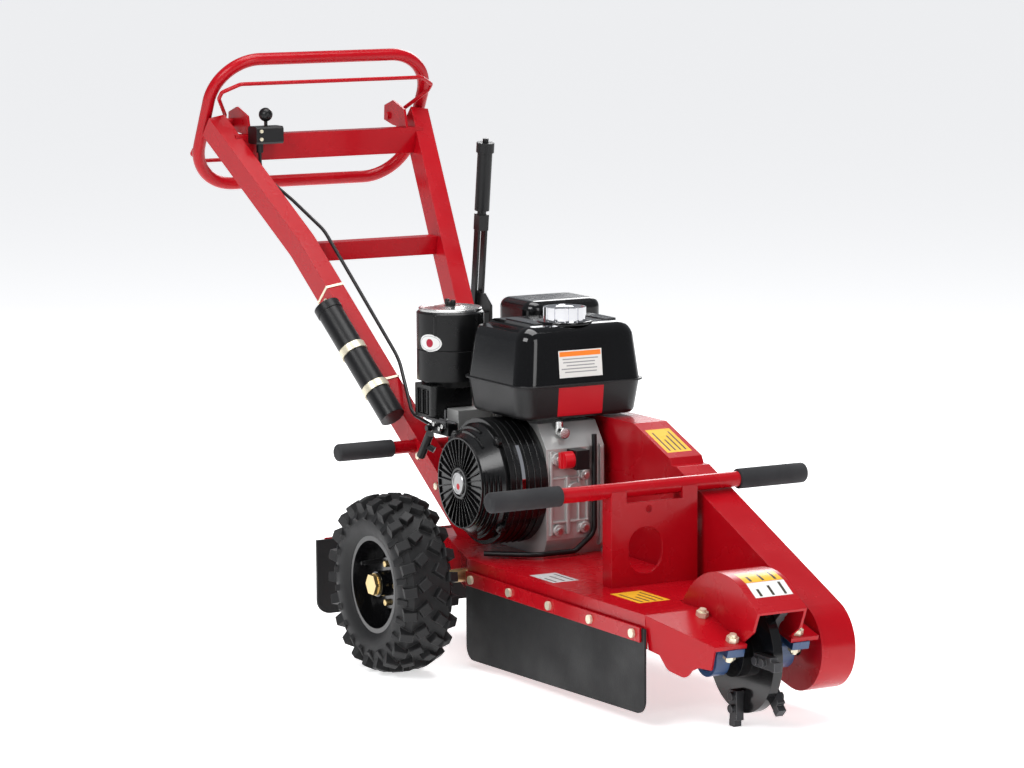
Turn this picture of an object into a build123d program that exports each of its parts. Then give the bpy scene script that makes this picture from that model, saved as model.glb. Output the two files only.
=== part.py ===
from build123d import *
import math
import os

# Stump grinder: a petrol engine on a two-wheeled deck drives a toothed cutter disc by belt.
# Millimetres, +X forwards to the cutter, +Y to the machine's left, +Z up, ground at z = 0.
# The wheel axle stands over x = 0 while modelling; the last step centres the whole machine.

# ---- driving dimensions ----
WHEEL_RADIUS = 165.0
TYRE_WIDTH = 108.0
TRACK_HALF = 308.0
RIM_RADIUS = 84.0
RIM_WALL = 3.0
AXLE_RADIUS = 12.5
HUB_REACH = 60.0
RUNNING_GAP = 0.05
PIECE_GAP = 0.4

DECK_TOP = 200.0
DECK_WALL = 5.0
DECK_SKIRT = 60.0
DECK_RIGHT = 165.0
DECK_LEFT = 101.0
DECK_WIDE_X = 25.0
NECK_X = -200.0
NECK_HALF = 85.0
DECK_TAIL_X = -285.0

CUTTER_X = 716.0
CUTTER_Z = 130.0
TOOTH_TIP_RADIUS = 130.0
DISC_RADIUS = 106.0
DISC_THICKNESS = 18.0
CUTTER_SHAFT_RADIUS = 12.5
TOOTH_COUNT = 8
CUTTER_GAP = 12.0

SHELF_SLOPE = 16.0
SHELF_WALL = 8.0
SHELF_FRONT = 66.0
SHELF_CORNER = 110.0
BEARING_RISE = 43.0
BEARING_Y = 66.0
BEARING_WIDTH = 34.0
BEARING_BOLT_SPAN = 50.0
BEARING_BOLT_RADIUS = 6.0
SLOT_HALF = 45.0
HOUSING_WALL = 5.0

CRANK_X = -15.0
CRANK_Z = 335.0
CRANK_RADIUS = 12.5
CYLINDER_TILT = 25.0
CASE_RIGHT = -36.0
CASE_LEFT = 80.0
CASE_WALL = 8.0
COVER_LEFT = 98.0
SHROUD_RADIUS = 118.0
SHROUD_RIGHT = -115.0
RECOIL_FACE = -155.0
RECOIL_RADIUS = 84.0

TANK_REAR, TANK_FRONT = -130.0, 97.0
TANK_RIGHT, TANK_LEFT = -89.0, 178.0
TANK_BOTTOM, TANK_SEAM, TANK_TOP = 456.0, 520.0, 628.0
TANK_SKIN = 2.0
CAP_X, CAP_Y, CAP_RADIUS = 25.0, 45.0, 40.0

GUARD_INNER = 106.0
GUARD_OUTER = 176.0
GUARD_WALL = 3.0
GUARD_END_RADIUS = 80.0
CLUTCH_RADIUS = 46.0
DRIVEN_RADIUS = 60.0
BELT_Y = 140.0
BELT_WIDTH = 26.0
BELT_THICKNESS = 9.0
GROOVE_DEPTH = 6.0

HANDLE_FOOT = (-180.0, 44.0, 215.0)
HANDLE_BEND = (-657.0, 159.0, 722.0)
HANDLE_WIDTH = 38.0
HANDLE_DEPTH = 50.0
HANDLE_WALL = 3.0
HANDLE_BEND_RADIUS = 160.0

LOOP_X, LOOP_Z = -925.0, 951.0
LOOP_LEAN = 27.0
LOOP_HALF_WIDTH = 244.0
LOOP_OUTSIDE_HANDLE = 13.0
LOOP_HALF_HEIGHT = 146.0
LOOP_CORNER = 95.0
LOOP_TUBE = 12.5
LOOP_BORE = 10.0
BAIL_LEAN = 48.0
BAIL_ROD = 4.0
BAIL_REACH = 124.0
BAIL_PIN = 4.0
HANDLE_TOP = (-908.0, LOOP_HALF_WIDTH - LOOP_OUTSIDE_HANDLE, 949.0)

LIFT_TUBE = 14.0
LIFT_BORE = 11.0
FRONT_BAR_X, FRONT_BAR_Z, FRONT_BAR_HALF = 401.0, 372.0, 326.0
REAR_BAR_X, REAR_BAR_Z, REAR_BAR_HALF = -316.0, 360.0, 258.0
REAR_BAR_TUBE = 12.5
GRIP_LENGTH = 145.0
REAR_GRIP_LENGTH = 120.0
GRIP_WALL = 4.5
FLAP_CORNER = 26.0
REAR_FLAP_HALF = 320.0

CASE_OUTLINE = [(-118, 200), (82, 200), (95, 232), (95, 402), (62, 446), (-64, 446), (-118, 330)]
AIR_X, AIR_Y, AIR_RADIUS = -228.0, -60.0, 65.0
AIR_BOTTOM, AIR_TOP = 500.0, 640.0
MUFFLER = (-270.0, -140.0, 62.0, 228.0, 482.0, 646.0)
PANEL = (-208.0, -142.0, -113.0, -92.0, 402.0, 426.0)
CHOKE_X, CHOKE_Z = -168.0, 412.0
SWITCH_X, SWITCH_Z = 113.0, 383.0
SWITCH_FACE = 8.0
PULL_AXIS = Vector(-0.60, -0.65, 0.47).normalized()
PULL_HOME = (-134.0, -166.0, 392.0)
WIRE_RADIUS = 5.0

BRACKET_Y = 176.0
THROTTLE_X, THROTTLE_Y, THROTTLE_Z = -823.0, -155.0, 930.0
LEVER_X, LEVER_Y, LEVER_Z = -592.0, 198.0, 575.0
LEVER_LEAN = 7.0
BRAKE_Y = 222.0
BRAKE_RADIUS = 72.0
DOC_RADIUS = 25.0
BRAKE_DISC_HALF = 2.5
BRAKE_GRIP_RADIUS = 15.0
BRAKE_BUTTON_RADIUS = 6.0
BRAKE_PIN = 5.0
CABLE_RADIUS = 3.5
THROTTLE_BALL = 14.0
THROTTLE_PIN = 3.0
BAIL_WAIST, BAIL_BULGE = 205.0, 238.0

TIE_DOWN_RADIUS = 6.5
STRIP_REAR_X = 32.0
STRIP_BOLTS = 5
TIE_DOWN_Z = 336.0
LIFT_WINDOW_WIDTH, LIFT_WINDOW_HEIGHT = 70.0, 84.0
LIFT_WINDOW_CORNER = 34.0
LIFT_WINDOW_Y, LIFT_WINDOW_Z = -18.0, 263.0
STRIP_DROP = 35.0
BOLT_HEAD_RADIUS = 8.0
FLAP_GROUND_GAP = 12.0
REAR_FLAP_GROUND_GAP = 58.0

parts = {}


# ---- small makers ----
def box(x0, x1, y0, y1, z0, z1):
    return Pos((x0 + x1) / 2, (y0 + y1) / 2, (z0 + z1) / 2) * Box(x1 - x0, y1 - y0, z1 - z0)


def rod_y(x, z, radius, y0, y1):
    return Pos(x, (y0 + y1) / 2, z) * Rot(90, 0, 0) * Cylinder(radius, y1 - y0)


def rod_z(x, y, radius, z0, z1):
    return Pos(x, y, (z0 + z1) / 2) * Cylinder(radius, z1 - z0)


def rod(start, end, radius):
    axis = Vector(end) - Vector(start)
    face = Plane(origin=start, z_dir=axis) * Circle(radius)
    return extrude(face, amount=axis.length)


def plate_y(points, y0, y1):
    face = Plane.XZ * make_face(Polyline(*points, close=True))
    return Pos(0, y1, 0) * extrude(face, amount=y1 - y0)


def face_y(face, y0, y1):
    return Pos(0, y1, 0) * extrude(Plane.XZ * face, amount=y1 - y0)


def hexagon_z(x, y, across, z0, z1):
    return Pos(x, y, z0) * extrude(RegularPolygon(across / 2, 6, major_radius=False), amount=z1 - z0)


def along(start, end, share):
    return tuple(a + (b - a) * share for a, b in zip(start, end))


def group(pieces):
    solids = []
    for piece in pieces:
        solids.extend(piece.solids())
    return Compound(solids)


def mirrored(piece):
    return mirror(piece, about=Plane.XZ)


# ---- running gear ----
def tyre_solid():
    outer = [(0.0, 0.70), (0.12, 0.70), (0.23, 0.90), (0.52, 1.0), (0.79, 0.96), (0.94, 0.79), (1.0, 0.41)]
    outer += [(height, -width) for height, width in reversed(outer)]
    inner = [(0.0, -0.57), (0.17, -0.63), (0.34, -0.79), (0.57, -0.85), (0.76, -0.80), (0.86, -0.63),
             (0.89, -0.31)]
    inner += [(height, -width) for height, width in reversed(inner)]
    bead = RIM_RADIUS + PIECE_GAP
    rise = WHEEL_RADIUS - bead
    ring = [(bead + height * rise, width * TYRE_WIDTH / 2) for height, width in outer + inner]
    turned = revolve(make_face(Polyline(*ring, close=True)), axis=Axis.Y)
    return Pos(0, TRACK_HALF, WHEEL_RADIUS) * turned


def rim_solid():
    half = 0.70 * TYRE_WIDTH / 2 + PIECE_GAP
    barrel = [(RIM_RADIUS - RIM_WALL, -half - 3), (RIM_RADIUS + 8, -half - 3), (RIM_RADIUS + 8, -half),
              (RIM_RADIUS, -half), (RIM_RADIUS, half), (RIM_RADIUS + 8, half),
              (RIM_RADIUS + 8, half + 3), (RIM_RADIUS - RIM_WALL, half + 3)]
    ring = revolve(make_face(Polyline(*barrel, close=True)), axis=Axis.Y)
    return Pos(0, TRACK_HALF, WHEEL_RADIUS) * ring


def wheel_disc_solid(hub_inner):
    hub_radius = AXLE_RADIUS + 11.0
    web = [(hub_radius - 1, 6), (45, 6), (58, -6), (RIM_RADIUS - RIM_WALL, -6), (RIM_RADIUS - RIM_WALL, -2),
           (60, -2), (47, 10), (hub_radius - 1, 10)]
    bore = AXLE_RADIUS + RUNNING_GAP
    hub_end = hub_inner - TRACK_HALF
    hub = [(bore, hub_end), (hub_radius, hub_end), (hub_radius, 34), (bore, 34)]
    solid = Part()
    for outline in (web, hub):
        solid += revolve(make_face(Polyline(*outline, close=True)), axis=Axis.Y)
    return Pos(0, TRACK_HALF, WHEEL_RADIUS) * solid


def axle_solid():
    bar = rod_y(0, WHEEL_RADIUS, AXLE_RADIUS, -TRACK_HALF - 46, TRACK_HALF + 46)
    washer = rod_y(0, WHEEL_RADIUS, AXLE_RADIUS + 8, TRACK_HALF + 35, TRACK_HALF + 38)
    nut = Pos(0, TRACK_HALF + 42, WHEEL_RADIUS) * Rot(90, 0, 0) * extrude(
        RegularPolygon(AXLE_RADIUS + 5, 6, major_radius=False), amount=4, both=True)
    end = washer + nut
    return bar + end + mirrored(end)


# ---- deck ----
def slope_point(x, z):
    angle = math.radians(SHELF_SLOPE)
    return (CUTTER_X + x * math.cos(angle) + z * math.sin(angle),
            CUTTER_Z - x * math.sin(angle) + z * math.cos(angle))


def sloped(piece):
    return Pos(CUTTER_X, 0, CUTTER_Z) * Rot(0, SHELF_SLOPE, 0) * piece


SHELF_TOP = BEARING_RISE + SHELF_WALL
SHELF_REAR = (CUTTER_Z + SHELF_TOP * math.cos(math.radians(SHELF_SLOPE)) - DECK_TOP) / math.sin(
    math.radians(SHELF_SLOPE))
DECK_FRONT_X = slope_point(SHELF_REAR, SHELF_TOP)[0]
SLOT_REAR_X = CUTTER_X - TOOTH_TIP_RADIUS - CUTTER_GAP


def deck_outline(inset):
    right = DECK_RIGHT - inset
    left = DECK_LEFT - inset
    neck = NECK_HALF - inset
    tail = DECK_TAIL_X + inset
    front = DECK_FRONT_X
    return Polyline((front, -right), (DECK_WIDE_X, -right), (NECK_X, -neck), (tail, -neck),
                    (tail, neck), (NECK_X, neck), (DECK_WIDE_X, left), (front, left), close=True)


def deck_solid():
    shell = Pos(0, 0, DECK_TOP - DECK_SKIRT) * extrude(make_face(deck_outline(0)), amount=DECK_SKIRT)
    hollow = Pos(0, 0, DECK_TOP - DECK_SKIRT) * extrude(
        make_face(deck_outline(DECK_WALL)), amount=DECK_SKIRT - DECK_WALL)
    shell -= hollow
    shell -= box(SLOT_REAR_X, DECK_FRONT_X + 1, -SLOT_HALF, SLOT_HALF, 0, DECK_TOP + 1)
    block_bottom = WHEEL_RADIUS - AXLE_RADIUS - 10
    for y in (-70.0, 52.0):
        shell += box(-30, 30, y, y + 18, block_bottom, DECK_TOP - DECK_WALL)
    return shell - rod_y(0, WHEEL_RADIUS, AXLE_RADIUS + PIECE_GAP, -DECK_RIGHT, DECK_RIGHT)


def shelf_solids():
    hole = BEARING_BOLT_RADIUS + PIECE_GAP
    bottom = BEARING_RISE
    right = make_face(Polyline((SHELF_REAR, -DECK_RIGHT), (SHELF_FRONT, -SHELF_CORNER),
                               (SHELF_FRONT, -SLOT_HALF),
                               (SHELF_REAR, -SLOT_HALF), close=True))
    left = make_face(Polyline((SHELF_REAR, SLOT_HALF), (SHELF_FRONT, SLOT_HALF),
                              (SHELF_FRONT, DECK_LEFT), (SHELF_REAR, DECK_LEFT), close=True))
    plates = []
    for face in (right, left):
        plates.append(Pos(0, 0, bottom) * extrude(face, amount=SHELF_WALL))
    run = SHELF_FRONT - SHELF_REAR
    drop = DECK_RIGHT - SHELF_CORNER
    length = math.hypot(run, drop)
    skirt_outline = Polyline((0, bottom), (length, bottom), (length, 8), (length - 26, 2),
                             (length - 40, -10),
                             (length - 48, -28), (length - 88, -28), (42, -8), (0, -8), close=True)
    skirt_face = make_face(skirt_outline)
    lobe = skirt_face.vertices().filter_by(lambda v: v.Y < -20)
    skirt_face = fillet(lobe, 16)
    skirt = extrude(Plane.XZ * skirt_face, amount=-DECK_WALL)
    skirt = Pos(SHELF_REAR, -DECK_RIGHT, 0) * Rot(0, 0, math.degrees(math.atan2(drop, run))) * skirt
    plates[0] += skirt
    solids = []
    for side, plate in zip((-1, 1), plates):
        for x in (-BEARING_BOLT_SPAN, BEARING_BOLT_SPAN):
            plate -= rod_z(x, side * BEARING_Y, hole, bottom - 1, SHELF_TOP + 1)
        solids.append(sloped(plate) - box(0, DECK_FRONT_X, -400, 400, 0, 400))
    return group(solids)


def housing_face(inset):
    radius = TOOTH_TIP_RADIUS + CUTTER_GAP - inset
    rear = (CUTTER_X - math.sqrt(radius ** 2 - (DECK_TOP - CUTTER_Z) ** 2), DECK_TOP)
    crest_angle = math.radians(66)
    crest = (CUTTER_X + radius * math.cos(crest_angle), CUTTER_Z + radius * math.sin(crest_angle))
    slide = math.radians(-33)
    reach = 72.0 + inset * 5
    lip = (crest[0] + reach * math.cos(slide), crest[1] + reach * math.sin(slide))
    arc = ThreePointArc(rear, (CUTTER_X - radius * math.cos(math.radians(60)),
                               CUTTER_Z + radius * math.sin(math.radians(60))), crest)
    if inset:
        path = Polyline(crest, lip, (lip[0], 60), (rear[0], 60), rear)
    else:
        foot = slope_point(58, SHELF_TOP)
        path = Polyline(crest, lip, (lip[0] - 16, lip[1] - 36), foot, (DECK_FRONT_X, DECK_TOP), rear)
    return make_face(arc + path)


def housing_solid():
    outer = face_y(housing_face(0), -SLOT_HALF - HOUSING_WALL, SLOT_HALF + HOUSING_WALL)
    return outer - face_y(housing_face(HOUSING_WALL), -SLOT_HALF, SLOT_HALF)


# ---- cutter ----
def disc_solid():
    disc = rod_y(CUTTER_X, CUTTER_Z, DISC_RADIUS, -DISC_THICKNESS / 2, DISC_THICKNESS / 2)
    hub = rod_y(CUTTER_X, CUTTER_Z, 42, -30, 30)
    return disc + hub - rod_y(CUTTER_X, CUTTER_Z, CUTTER_SHAFT_RADIUS, -31, 31)


def cutter_shaft_solid():
    return rod_y(CUTTER_X, CUTTER_Z, CUTTER_SHAFT_RADIUS, -BEARING_Y - 22, BELT_Y + 22)


def tooth_solid(side):
    face = DISC_THICKNESS / 2
    y0, y1 = (face, face + 15) if side > 0 else (-face - 15, -face)
    arm = box(-11, 11, y0, y1, 66, 118)
    shank = box(-4, 12, y0, y1, 118, TOOTH_TIP_RADIUS)
    y_head = y1 if side > 0 else y0 - 7
    tooth = arm + shank
    for z in (76, 98):
        tooth += rod_y(0, z, 7.5, y_head, y_head + 7)
    return tooth


def teeth_solids():
    teeth = []
    for index in range(TOOTH_COUNT):
        side = 1 if index % 2 else -1
        angle = 180 + index * 360 / TOOTH_COUNT
        teeth.append(Pos(CUTTER_X, 0, CUTTER_Z) * Rot(0, angle, 0) * tooth_solid(side))
    return group(teeth)


def bearing_solids():
    solids = []
    for side in (-1, 1):
        y0 = side * BEARING_Y - BEARING_WIDTH / 2
        y1 = y0 + BEARING_WIDTH
        body = box(-68, 68, y0, y1, BEARING_RISE - 14, BEARING_RISE)
        body += rod_y(0, 0, 36, y0 + 3, y1 - 3)
        body += box(-34, 34, y0 + 3, y1 - 3, 0, BEARING_RISE - 8)
        body -= rod_y(0, 0, 26, y0 - 1, y1 + 1)
        for x in (-BEARING_BOLT_SPAN, BEARING_BOLT_SPAN):
            body -= rod_z(x, side * BEARING_Y, BEARING_BOLT_RADIUS + PIECE_GAP, 0, BEARING_RISE + 1)
        ring = rod_y(0, 0, 26, y0 + 4, y1 - 4)
        ring -= rod_y(0, 0, CUTTER_SHAFT_RADIUS + RUNNING_GAP, y0, y1)
        solids += [sloped(body), sloped(ring)]
    return group(solids)


def bearing_bolt_solids():
    bolts = []
    for side in (-1, 1):
        y = side * BEARING_Y
        for x in (-BEARING_BOLT_SPAN, BEARING_BOLT_SPAN):
            bolt = rod_z(x, y, BEARING_BOLT_RADIUS, BEARING_RISE - 30, SHELF_TOP + 14)
            bolt += hexagon_z(x, y, 19, SHELF_TOP, SHELF_TOP + 9)
            bolt += hexagon_z(x, y, 19, BEARING_RISE - 25, BEARING_RISE - 14)
            bolts.append(sloped(bolt))
    return bolts


# ---- belt drive ----
def pulley_solid(x, z, radius, bore):
    half = BELT_WIDTH / 2
    wheel = rod_y(x, z, radius + 4, BELT_Y - half - 4, BELT_Y + half + 4)
    groove = rod_y(x, z, radius + 5, BELT_Y - half, BELT_Y + half) - rod_y(
        x, z, radius, BELT_Y - half - 1, BELT_Y + half + 1)
    wheel -= groove
    return wheel - rod_y(x, z, bore, BELT_Y - 40, BELT_Y + 40)


def belt_face(grow):
    r1 = CLUTCH_RADIUS + grow
    r2 = DRIVEN_RADIUS + grow
    dx = CUTTER_X - CRANK_X
    dz = CUTTER_Z - CRANK_Z
    reach = math.hypot(dx, dz)
    heading = math.atan2(dz, dx)
    lean = math.acos((r1 - r2) / reach)
    corners = []
    for turn in (lean, -lean):
        ux, uz = math.cos(heading + turn), math.sin(heading + turn)
        corners.append(((CRANK_X + r1 * ux, CRANK_Z + r1 * uz), (CUTTER_X + r2 * ux, CUTTER_Z + r2 * uz)))
    (a, b), (d, c) = corners
    far = heading
    back = (CRANK_X - r1 * math.cos(far), CRANK_Z - r1 * math.sin(far))
    front = (CUTTER_X + r2 * math.cos(far), CUTTER_Z + r2 * math.sin(far))
    return make_face(Line(a, b) + ThreePointArc(b, front, c) + Line(c, d) + ThreePointArc(d, back, a))


def belt_solid():
    half = BELT_WIDTH / 2 - 1
    outer = face_y(belt_face(PIECE_GAP + BELT_THICKNESS), BELT_Y - half, BELT_Y + half)
    return outer - face_y(belt_face(PIECE_GAP), BELT_Y - half - 1, BELT_Y + half + 1)


def tangent(point, side):
    dx, dz = CUTTER_X - point[0], CUTTER_Z - point[1]
    reach = math.hypot(dx, dz)
    turn = math.atan2(-dz, -dx) + side * math.acos(GUARD_END_RADIUS / reach)
    return (CUTTER_X + GUARD_END_RADIUS * math.cos(turn), CUTTER_Z + GUARD_END_RADIUS * math.sin(turn))


def guard_face():
    step = (322.0, 389.0)
    heel = (-60.0, 236.0)
    upper = tangent(step, -1)
    lower = tangent(heel, 1)
    nose = (CUTTER_X + GUARD_END_RADIUS, CUTTER_Z)
    edge = Polyline(lower, heel, (-112, 262), (-124, 420), (-92, 450), (172, 450), (296, 402), (303, 389),
                    step, upper)
    return make_face(edge + ThreePointArc(upper, nose, lower))


def guard_solid():
    shell = face_y(guard_face(), GUARD_INNER + GUARD_WALL, GUARD_OUTER)
    hollow = face_y(offset(guard_face(), -GUARD_WALL), GUARD_INNER, GUARD_OUTER - GUARD_WALL)
    return shell - hollow


def guard_back_solid():
    plate = face_y(guard_face(), GUARD_INNER, GUARD_INNER + GUARD_WALL)
    plate -= rod_y(CRANK_X, CRANK_Z, 42, GUARD_INNER - 1, GUARD_OUTER)
    return plate - rod_y(CUTTER_X, CUTTER_Z, CUTTER_SHAFT_RADIUS + 6, GUARD_INNER - 1, GUARD_OUTER)


# ---- engine ----


def crankcase_solid():
    block = plate_y(CASE_OUTLINE, CASE_RIGHT, CASE_LEFT)
    hollow = offset(make_face(Polyline(*CASE_OUTLINE, close=True)), -CASE_WALL)
    block -= face_y(hollow, CASE_RIGHT + CASE_WALL, CASE_LEFT)
    block -= rod_y(CRANK_X, CRANK_Z, CRANK_RADIUS + RUNNING_GAP, CASE_RIGHT - 1, CASE_LEFT)
    return block


def crankcase_cover_solid():
    plate = plate_y(CASE_OUTLINE, CASE_LEFT, CASE_LEFT + CASE_WALL)
    plate += rod_y(CRANK_X, CRANK_Z, 45, CASE_LEFT, COVER_LEFT)
    plate += rod_y(CRANK_X + 62, CRANK_Z - 62, 22, CASE_LEFT, CASE_LEFT + 13)
    return plate - rod_y(CRANK_X, CRANK_Z, CRANK_RADIUS + RUNNING_GAP, CASE_LEFT - 1, COVER_LEFT + 1)


def on_cylinder(piece):
    return Pos(CRANK_X, 0, CRANK_Z) * Rot(0, CYLINDER_TILT - 90, 0) * piece


def cylinder_solids():
    y0, y1 = -16.0, 56.0
    core = box(-46, 46, y0 + 6, y1 - 6, 112, 226)
    for index in range(9):
        z = 124 + index * 8
        core += box(-56, 56, y0, y1, z, z + 3)
    head = box(-54, 54, y0, y1, 204, 226)
    rocker = box(-42, 42, y0 + 4, y1 - 4, 226, 254)
    block = on_cylinder(core + head)
    case = face_y(make_face(Polyline(*CASE_OUTLINE, close=True)), CASE_RIGHT - 1, CASE_LEFT + 1)
    return group([block - case, on_cylinder(rocker)])


def shroud_solid():
    y1 = CASE_RIGHT - PIECE_GAP
    drum = Pos(CRANK_X, CRANK_Z) * Circle(SHROUD_RADIUS)
    duct = make_face(Polyline((CRANK_X - 20, CRANK_Z + 112), (CRANK_X - 124, CRANK_Z + 66),
                              (CRANK_X - 124, CRANK_Z + 6), (CRANK_X - 60, CRANK_Z - 60), close=True))
    face = drum + duct
    shell = face_y(face, SHROUD_RIGHT, y1)
    inner = face_y(offset(face, -3), SHROUD_RIGHT + 3, y1 + 1)
    return shell - inner - rod_y(CRANK_X, CRANK_Z, SHROUD_RADIUS - 12, SHROUD_RIGHT - 1, SHROUD_RIGHT + 4)


def recoil_solid():
    base = SHROUD_RADIUS - 8
    outline = [(0, RECOIL_FACE), (RECOIL_RADIUS, RECOIL_FACE), (base, SHROUD_RIGHT - 6),
               (base, SHROUD_RIGHT),
               (base - 3, SHROUD_RIGHT), (base - 3, SHROUD_RIGHT - 5), (RECOIL_RADIUS - 2, RECOIL_FACE + 3),
               (0, RECOIL_FACE + 3)]
    shell = revolve(make_face(Polyline(*outline, close=True)), axis=Axis.Y)
    return Pos(CRANK_X, 0, CRANK_Z) * shell


def crankshaft_solid():
    shaft = rod_y(CRANK_X, CRANK_Z, CRANK_RADIUS, -112, BELT_Y + 20)
    for y0 in (-16, 36):
        shaft += rod_y(CRANK_X, CRANK_Z, 40, y0, y0 + 18)
    return shaft


def flywheel_solid():
    wheel = rod_y(CRANK_X, CRANK_Z, 98, -68, -48)
    for index in range(16):
        fin = Rot(0, index * 22.5, 0) * box(56, 96, -92, -67, -2, 2)
        wheel += Pos(CRANK_X, 0, CRANK_Z) * fin
    wheel += rod_y(CRANK_X, CRANK_Z, 38, -106, -68)
    return wheel - rod_y(CRANK_X, CRANK_Z, CRANK_RADIUS, -120, 0)


def tank_block(inset):
    x0, x1 = TANK_REAR + inset, TANK_FRONT - inset
    y0, y1 = TANK_RIGHT + inset, TANK_LEFT - inset
    lower = box(x0, x1, y0, y1, TANK_BOTTOM + inset, TANK_SEAM + 1)
    lower = fillet(lower.edges().filter_by(Axis.Z), 32 - inset)
    lower = chamfer(lower.faces().sort_by(Axis.Z)[0].edges(), 14)
    upper = box(x0, x1, y0, y1, TANK_SEAM, TANK_TOP - inset)
    upper = fillet(upper.edges().filter_by(Axis.Z), 32 - inset)
    upper = fillet(upper.faces().sort_by(Axis.Z)[-1].edges(), 30 - inset)
    return lower + upper


def tank_solid():
    seam = box(TANK_REAR - 6, TANK_FRONT + 6, TANK_RIGHT - 6, TANK_LEFT + 6, TANK_SEAM - 2, TANK_SEAM + 2)
    seam = fillet(seam.edges().filter_by(Axis.Z), 36)
    neck = rod_z(CAP_X, CAP_Y, CAP_RADIUS - 8, TANK_TOP - 10, TANK_TOP + 6)
    tank = tank_block(0) + seam + neck - tank_block(TANK_SKIN)
    return tank - rod_z(CAP_X, CAP_Y, CAP_RADIUS - 11, TANK_TOP - 20, TANK_TOP + 10)


def cap_solid():
    base = TANK_TOP + 6 + PIECE_GAP
    cap = rod_z(CAP_X, CAP_Y, CAP_RADIUS, base - 4, base + 22)
    cap -= rod_z(CAP_X, CAP_Y, CAP_RADIUS - 7, base - 5, base)
    return chamfer(cap.faces().sort_by(Axis.Z)[-1].edges(), 3)


def air_cleaner_solids():
    body = rod_z(AIR_X, AIR_Y, AIR_RADIUS, AIR_BOTTOM, AIR_TOP - 14)
    body += box(AIR_X - 40, AIR_X + 40, AIR_Y - 62, AIR_Y + 30, 428, AIR_BOTTOM)
    body -= rod_z(AIR_X, AIR_Y, AIR_RADIUS - 3, AIR_BOTTOM + 3, AIR_TOP)
    lid = rod_z(AIR_X, AIR_Y, AIR_RADIUS + 1, AIR_TOP - 14 + PIECE_GAP, AIR_TOP)
    lid = fillet(lid.faces().sort_by(Axis.Z)[-1].edges(), 8)
    nut = rod_z(AIR_X, AIR_Y, 8, AIR_TOP, AIR_TOP + 10) + box(AIR_X - 16, AIR_X + 16, AIR_Y - 2, AIR_Y + 2,
                                                            AIR_TOP + 3, AIR_TOP + 12)
    return group([body, lid, nut])


def carburettor_solid():
    body = box(-184, -140, -92, -22, 418, 450)
    body += rod_z(-162, -60, 20, 398, 418)
    return body


def muffler_solid():
    x0, x1, y0, y1, z0, z1 = MUFFLER
    can = box(x0 + 14, x1 - 14, y0 + 14, y1 - 14, z0 + 14, z1 - 16)
    can = fillet(can.edges().filter_by(Axis.Y), 24)
    hollow = box(x0 + 16, x1 - 16, y0 + 16, y1 - 16, z0 + 16, z1 - 18)
    can -= fillet(hollow.edges().filter_by(Axis.Y), 22)
    pipe = rod_z(x0 + 52, y0 + 30, 14, z0 - 20, z0 + 20)
    return can + pipe + box(x0 + 30, x0 + 74, 57, y0 + 52, z0 - 34, z0 - 18)


def muffler_guard_solid():
    x0, x1, y0, y1, z0, z1 = MUFFLER
    outer = box(x0, x1, y0, y1, z0, z1)
    outer = fillet(outer.edges().filter_by(Axis.Z), 26)
    outer = fillet(outer.faces().sort_by(Axis.Z)[-1].edges(), 18)
    inner = box(x0 + 2, x1 - 2, y0 + 2, y1 - 2, z0 - 1, z1 - 2)
    inner = fillet(inner.edges().filter_by(Axis.Z), 24)
    inner = fillet(inner.faces().sort_by(Axis.Z)[-1].edges(), 16)
    return outer - inner


def control_panel_solid():
    x0, x1, y0, y1, z0, z1 = PANEL
    panel = box(x0, x1, y0, y1, z0, z1)
    return panel + rod_y(CHOKE_X, CHOKE_Z, 4, y0 - 6, y0)


def choke_lever_solid():
    y1 = PANEL[2] - PIECE_GAP
    lever = rod_y(CHOKE_X, CHOKE_Z, 8, y1 - 5, y1)
    lever += box(CHOKE_X - 34, CHOKE_X, y1 - 5, y1, CHOKE_Z - 4, CHOKE_Z + 4)
    lever += rod_y(CHOKE_X - 34, CHOKE_Z, 6, y1 - 14, y1)
    return lever - rod_y(CHOKE_X, CHOKE_Z, 4 + RUNNING_GAP, y1 - 8, y1 + 1)


def wiring_solids():
    body = box(95.0, SWITCH_X + 17, SWITCH_FACE, SWITCH_FACE + 28, SWITCH_Z - 18, SWITCH_Z + 18)
    body += rod_y(SWITCH_X, SWITCH_Z, 4, SWITCH_FACE - 8, SWITCH_FACE)
    route = FilletPolyline((103, 62, 425), (103, 62, 240), (103, 20, 209), (103, -62, 209), (40, -138, 209),
                           radius=[30, 20, 40])
    section = Plane(origin=route @ 0, z_dir=route % 0) * Circle(WIRE_RADIUS)
    return group([body, sweep(section, path=route)])


def switch_knob_solid():
    knob = rod_y(SWITCH_X, SWITCH_Z, 16, SWITCH_FACE - 20, SWITCH_FACE - PIECE_GAP)
    knob += box(SWITCH_X - 4, SWITCH_X + 4, SWITCH_FACE - 26, SWITCH_FACE - 20, SWITCH_Z - 15, SWITCH_Z + 15)
    return knob - rod_y(SWITCH_X, SWITCH_Z, 4 + RUNNING_GAP, SWITCH_FACE - 9, SWITCH_FACE + 1)


def pull_grip_solid():
    across = PULL_AXIS.cross(Vector(0, 1, 0)).normalized()
    middle = Vector(*PULL_HOME)
    bar = rod(tuple(middle - across * 30), tuple(middle + across * 30), 8)
    return bar + rod(tuple(middle - PULL_AXIS * 20), tuple(middle), 6)


# ---- handle frame ----
def handle_path(foot_cut):
    start = along(HANDLE_BEND, HANDLE_FOOT, 1 + foot_cut)
    return FilletPolyline(start, HANDLE_BEND, HANDLE_TOP, radius=HANDLE_BEND_RADIUS)


def handle_sweep(width, depth, foot_cut):
    path = handle_path(foot_cut)
    heading = path % 0
    section = Plane(origin=path @ 0, x_dir=Vector(0, 1, 0) - heading * heading.Y, z_dir=heading)
    return sweep(section * Rectangle(width, depth), path=path)


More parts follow.
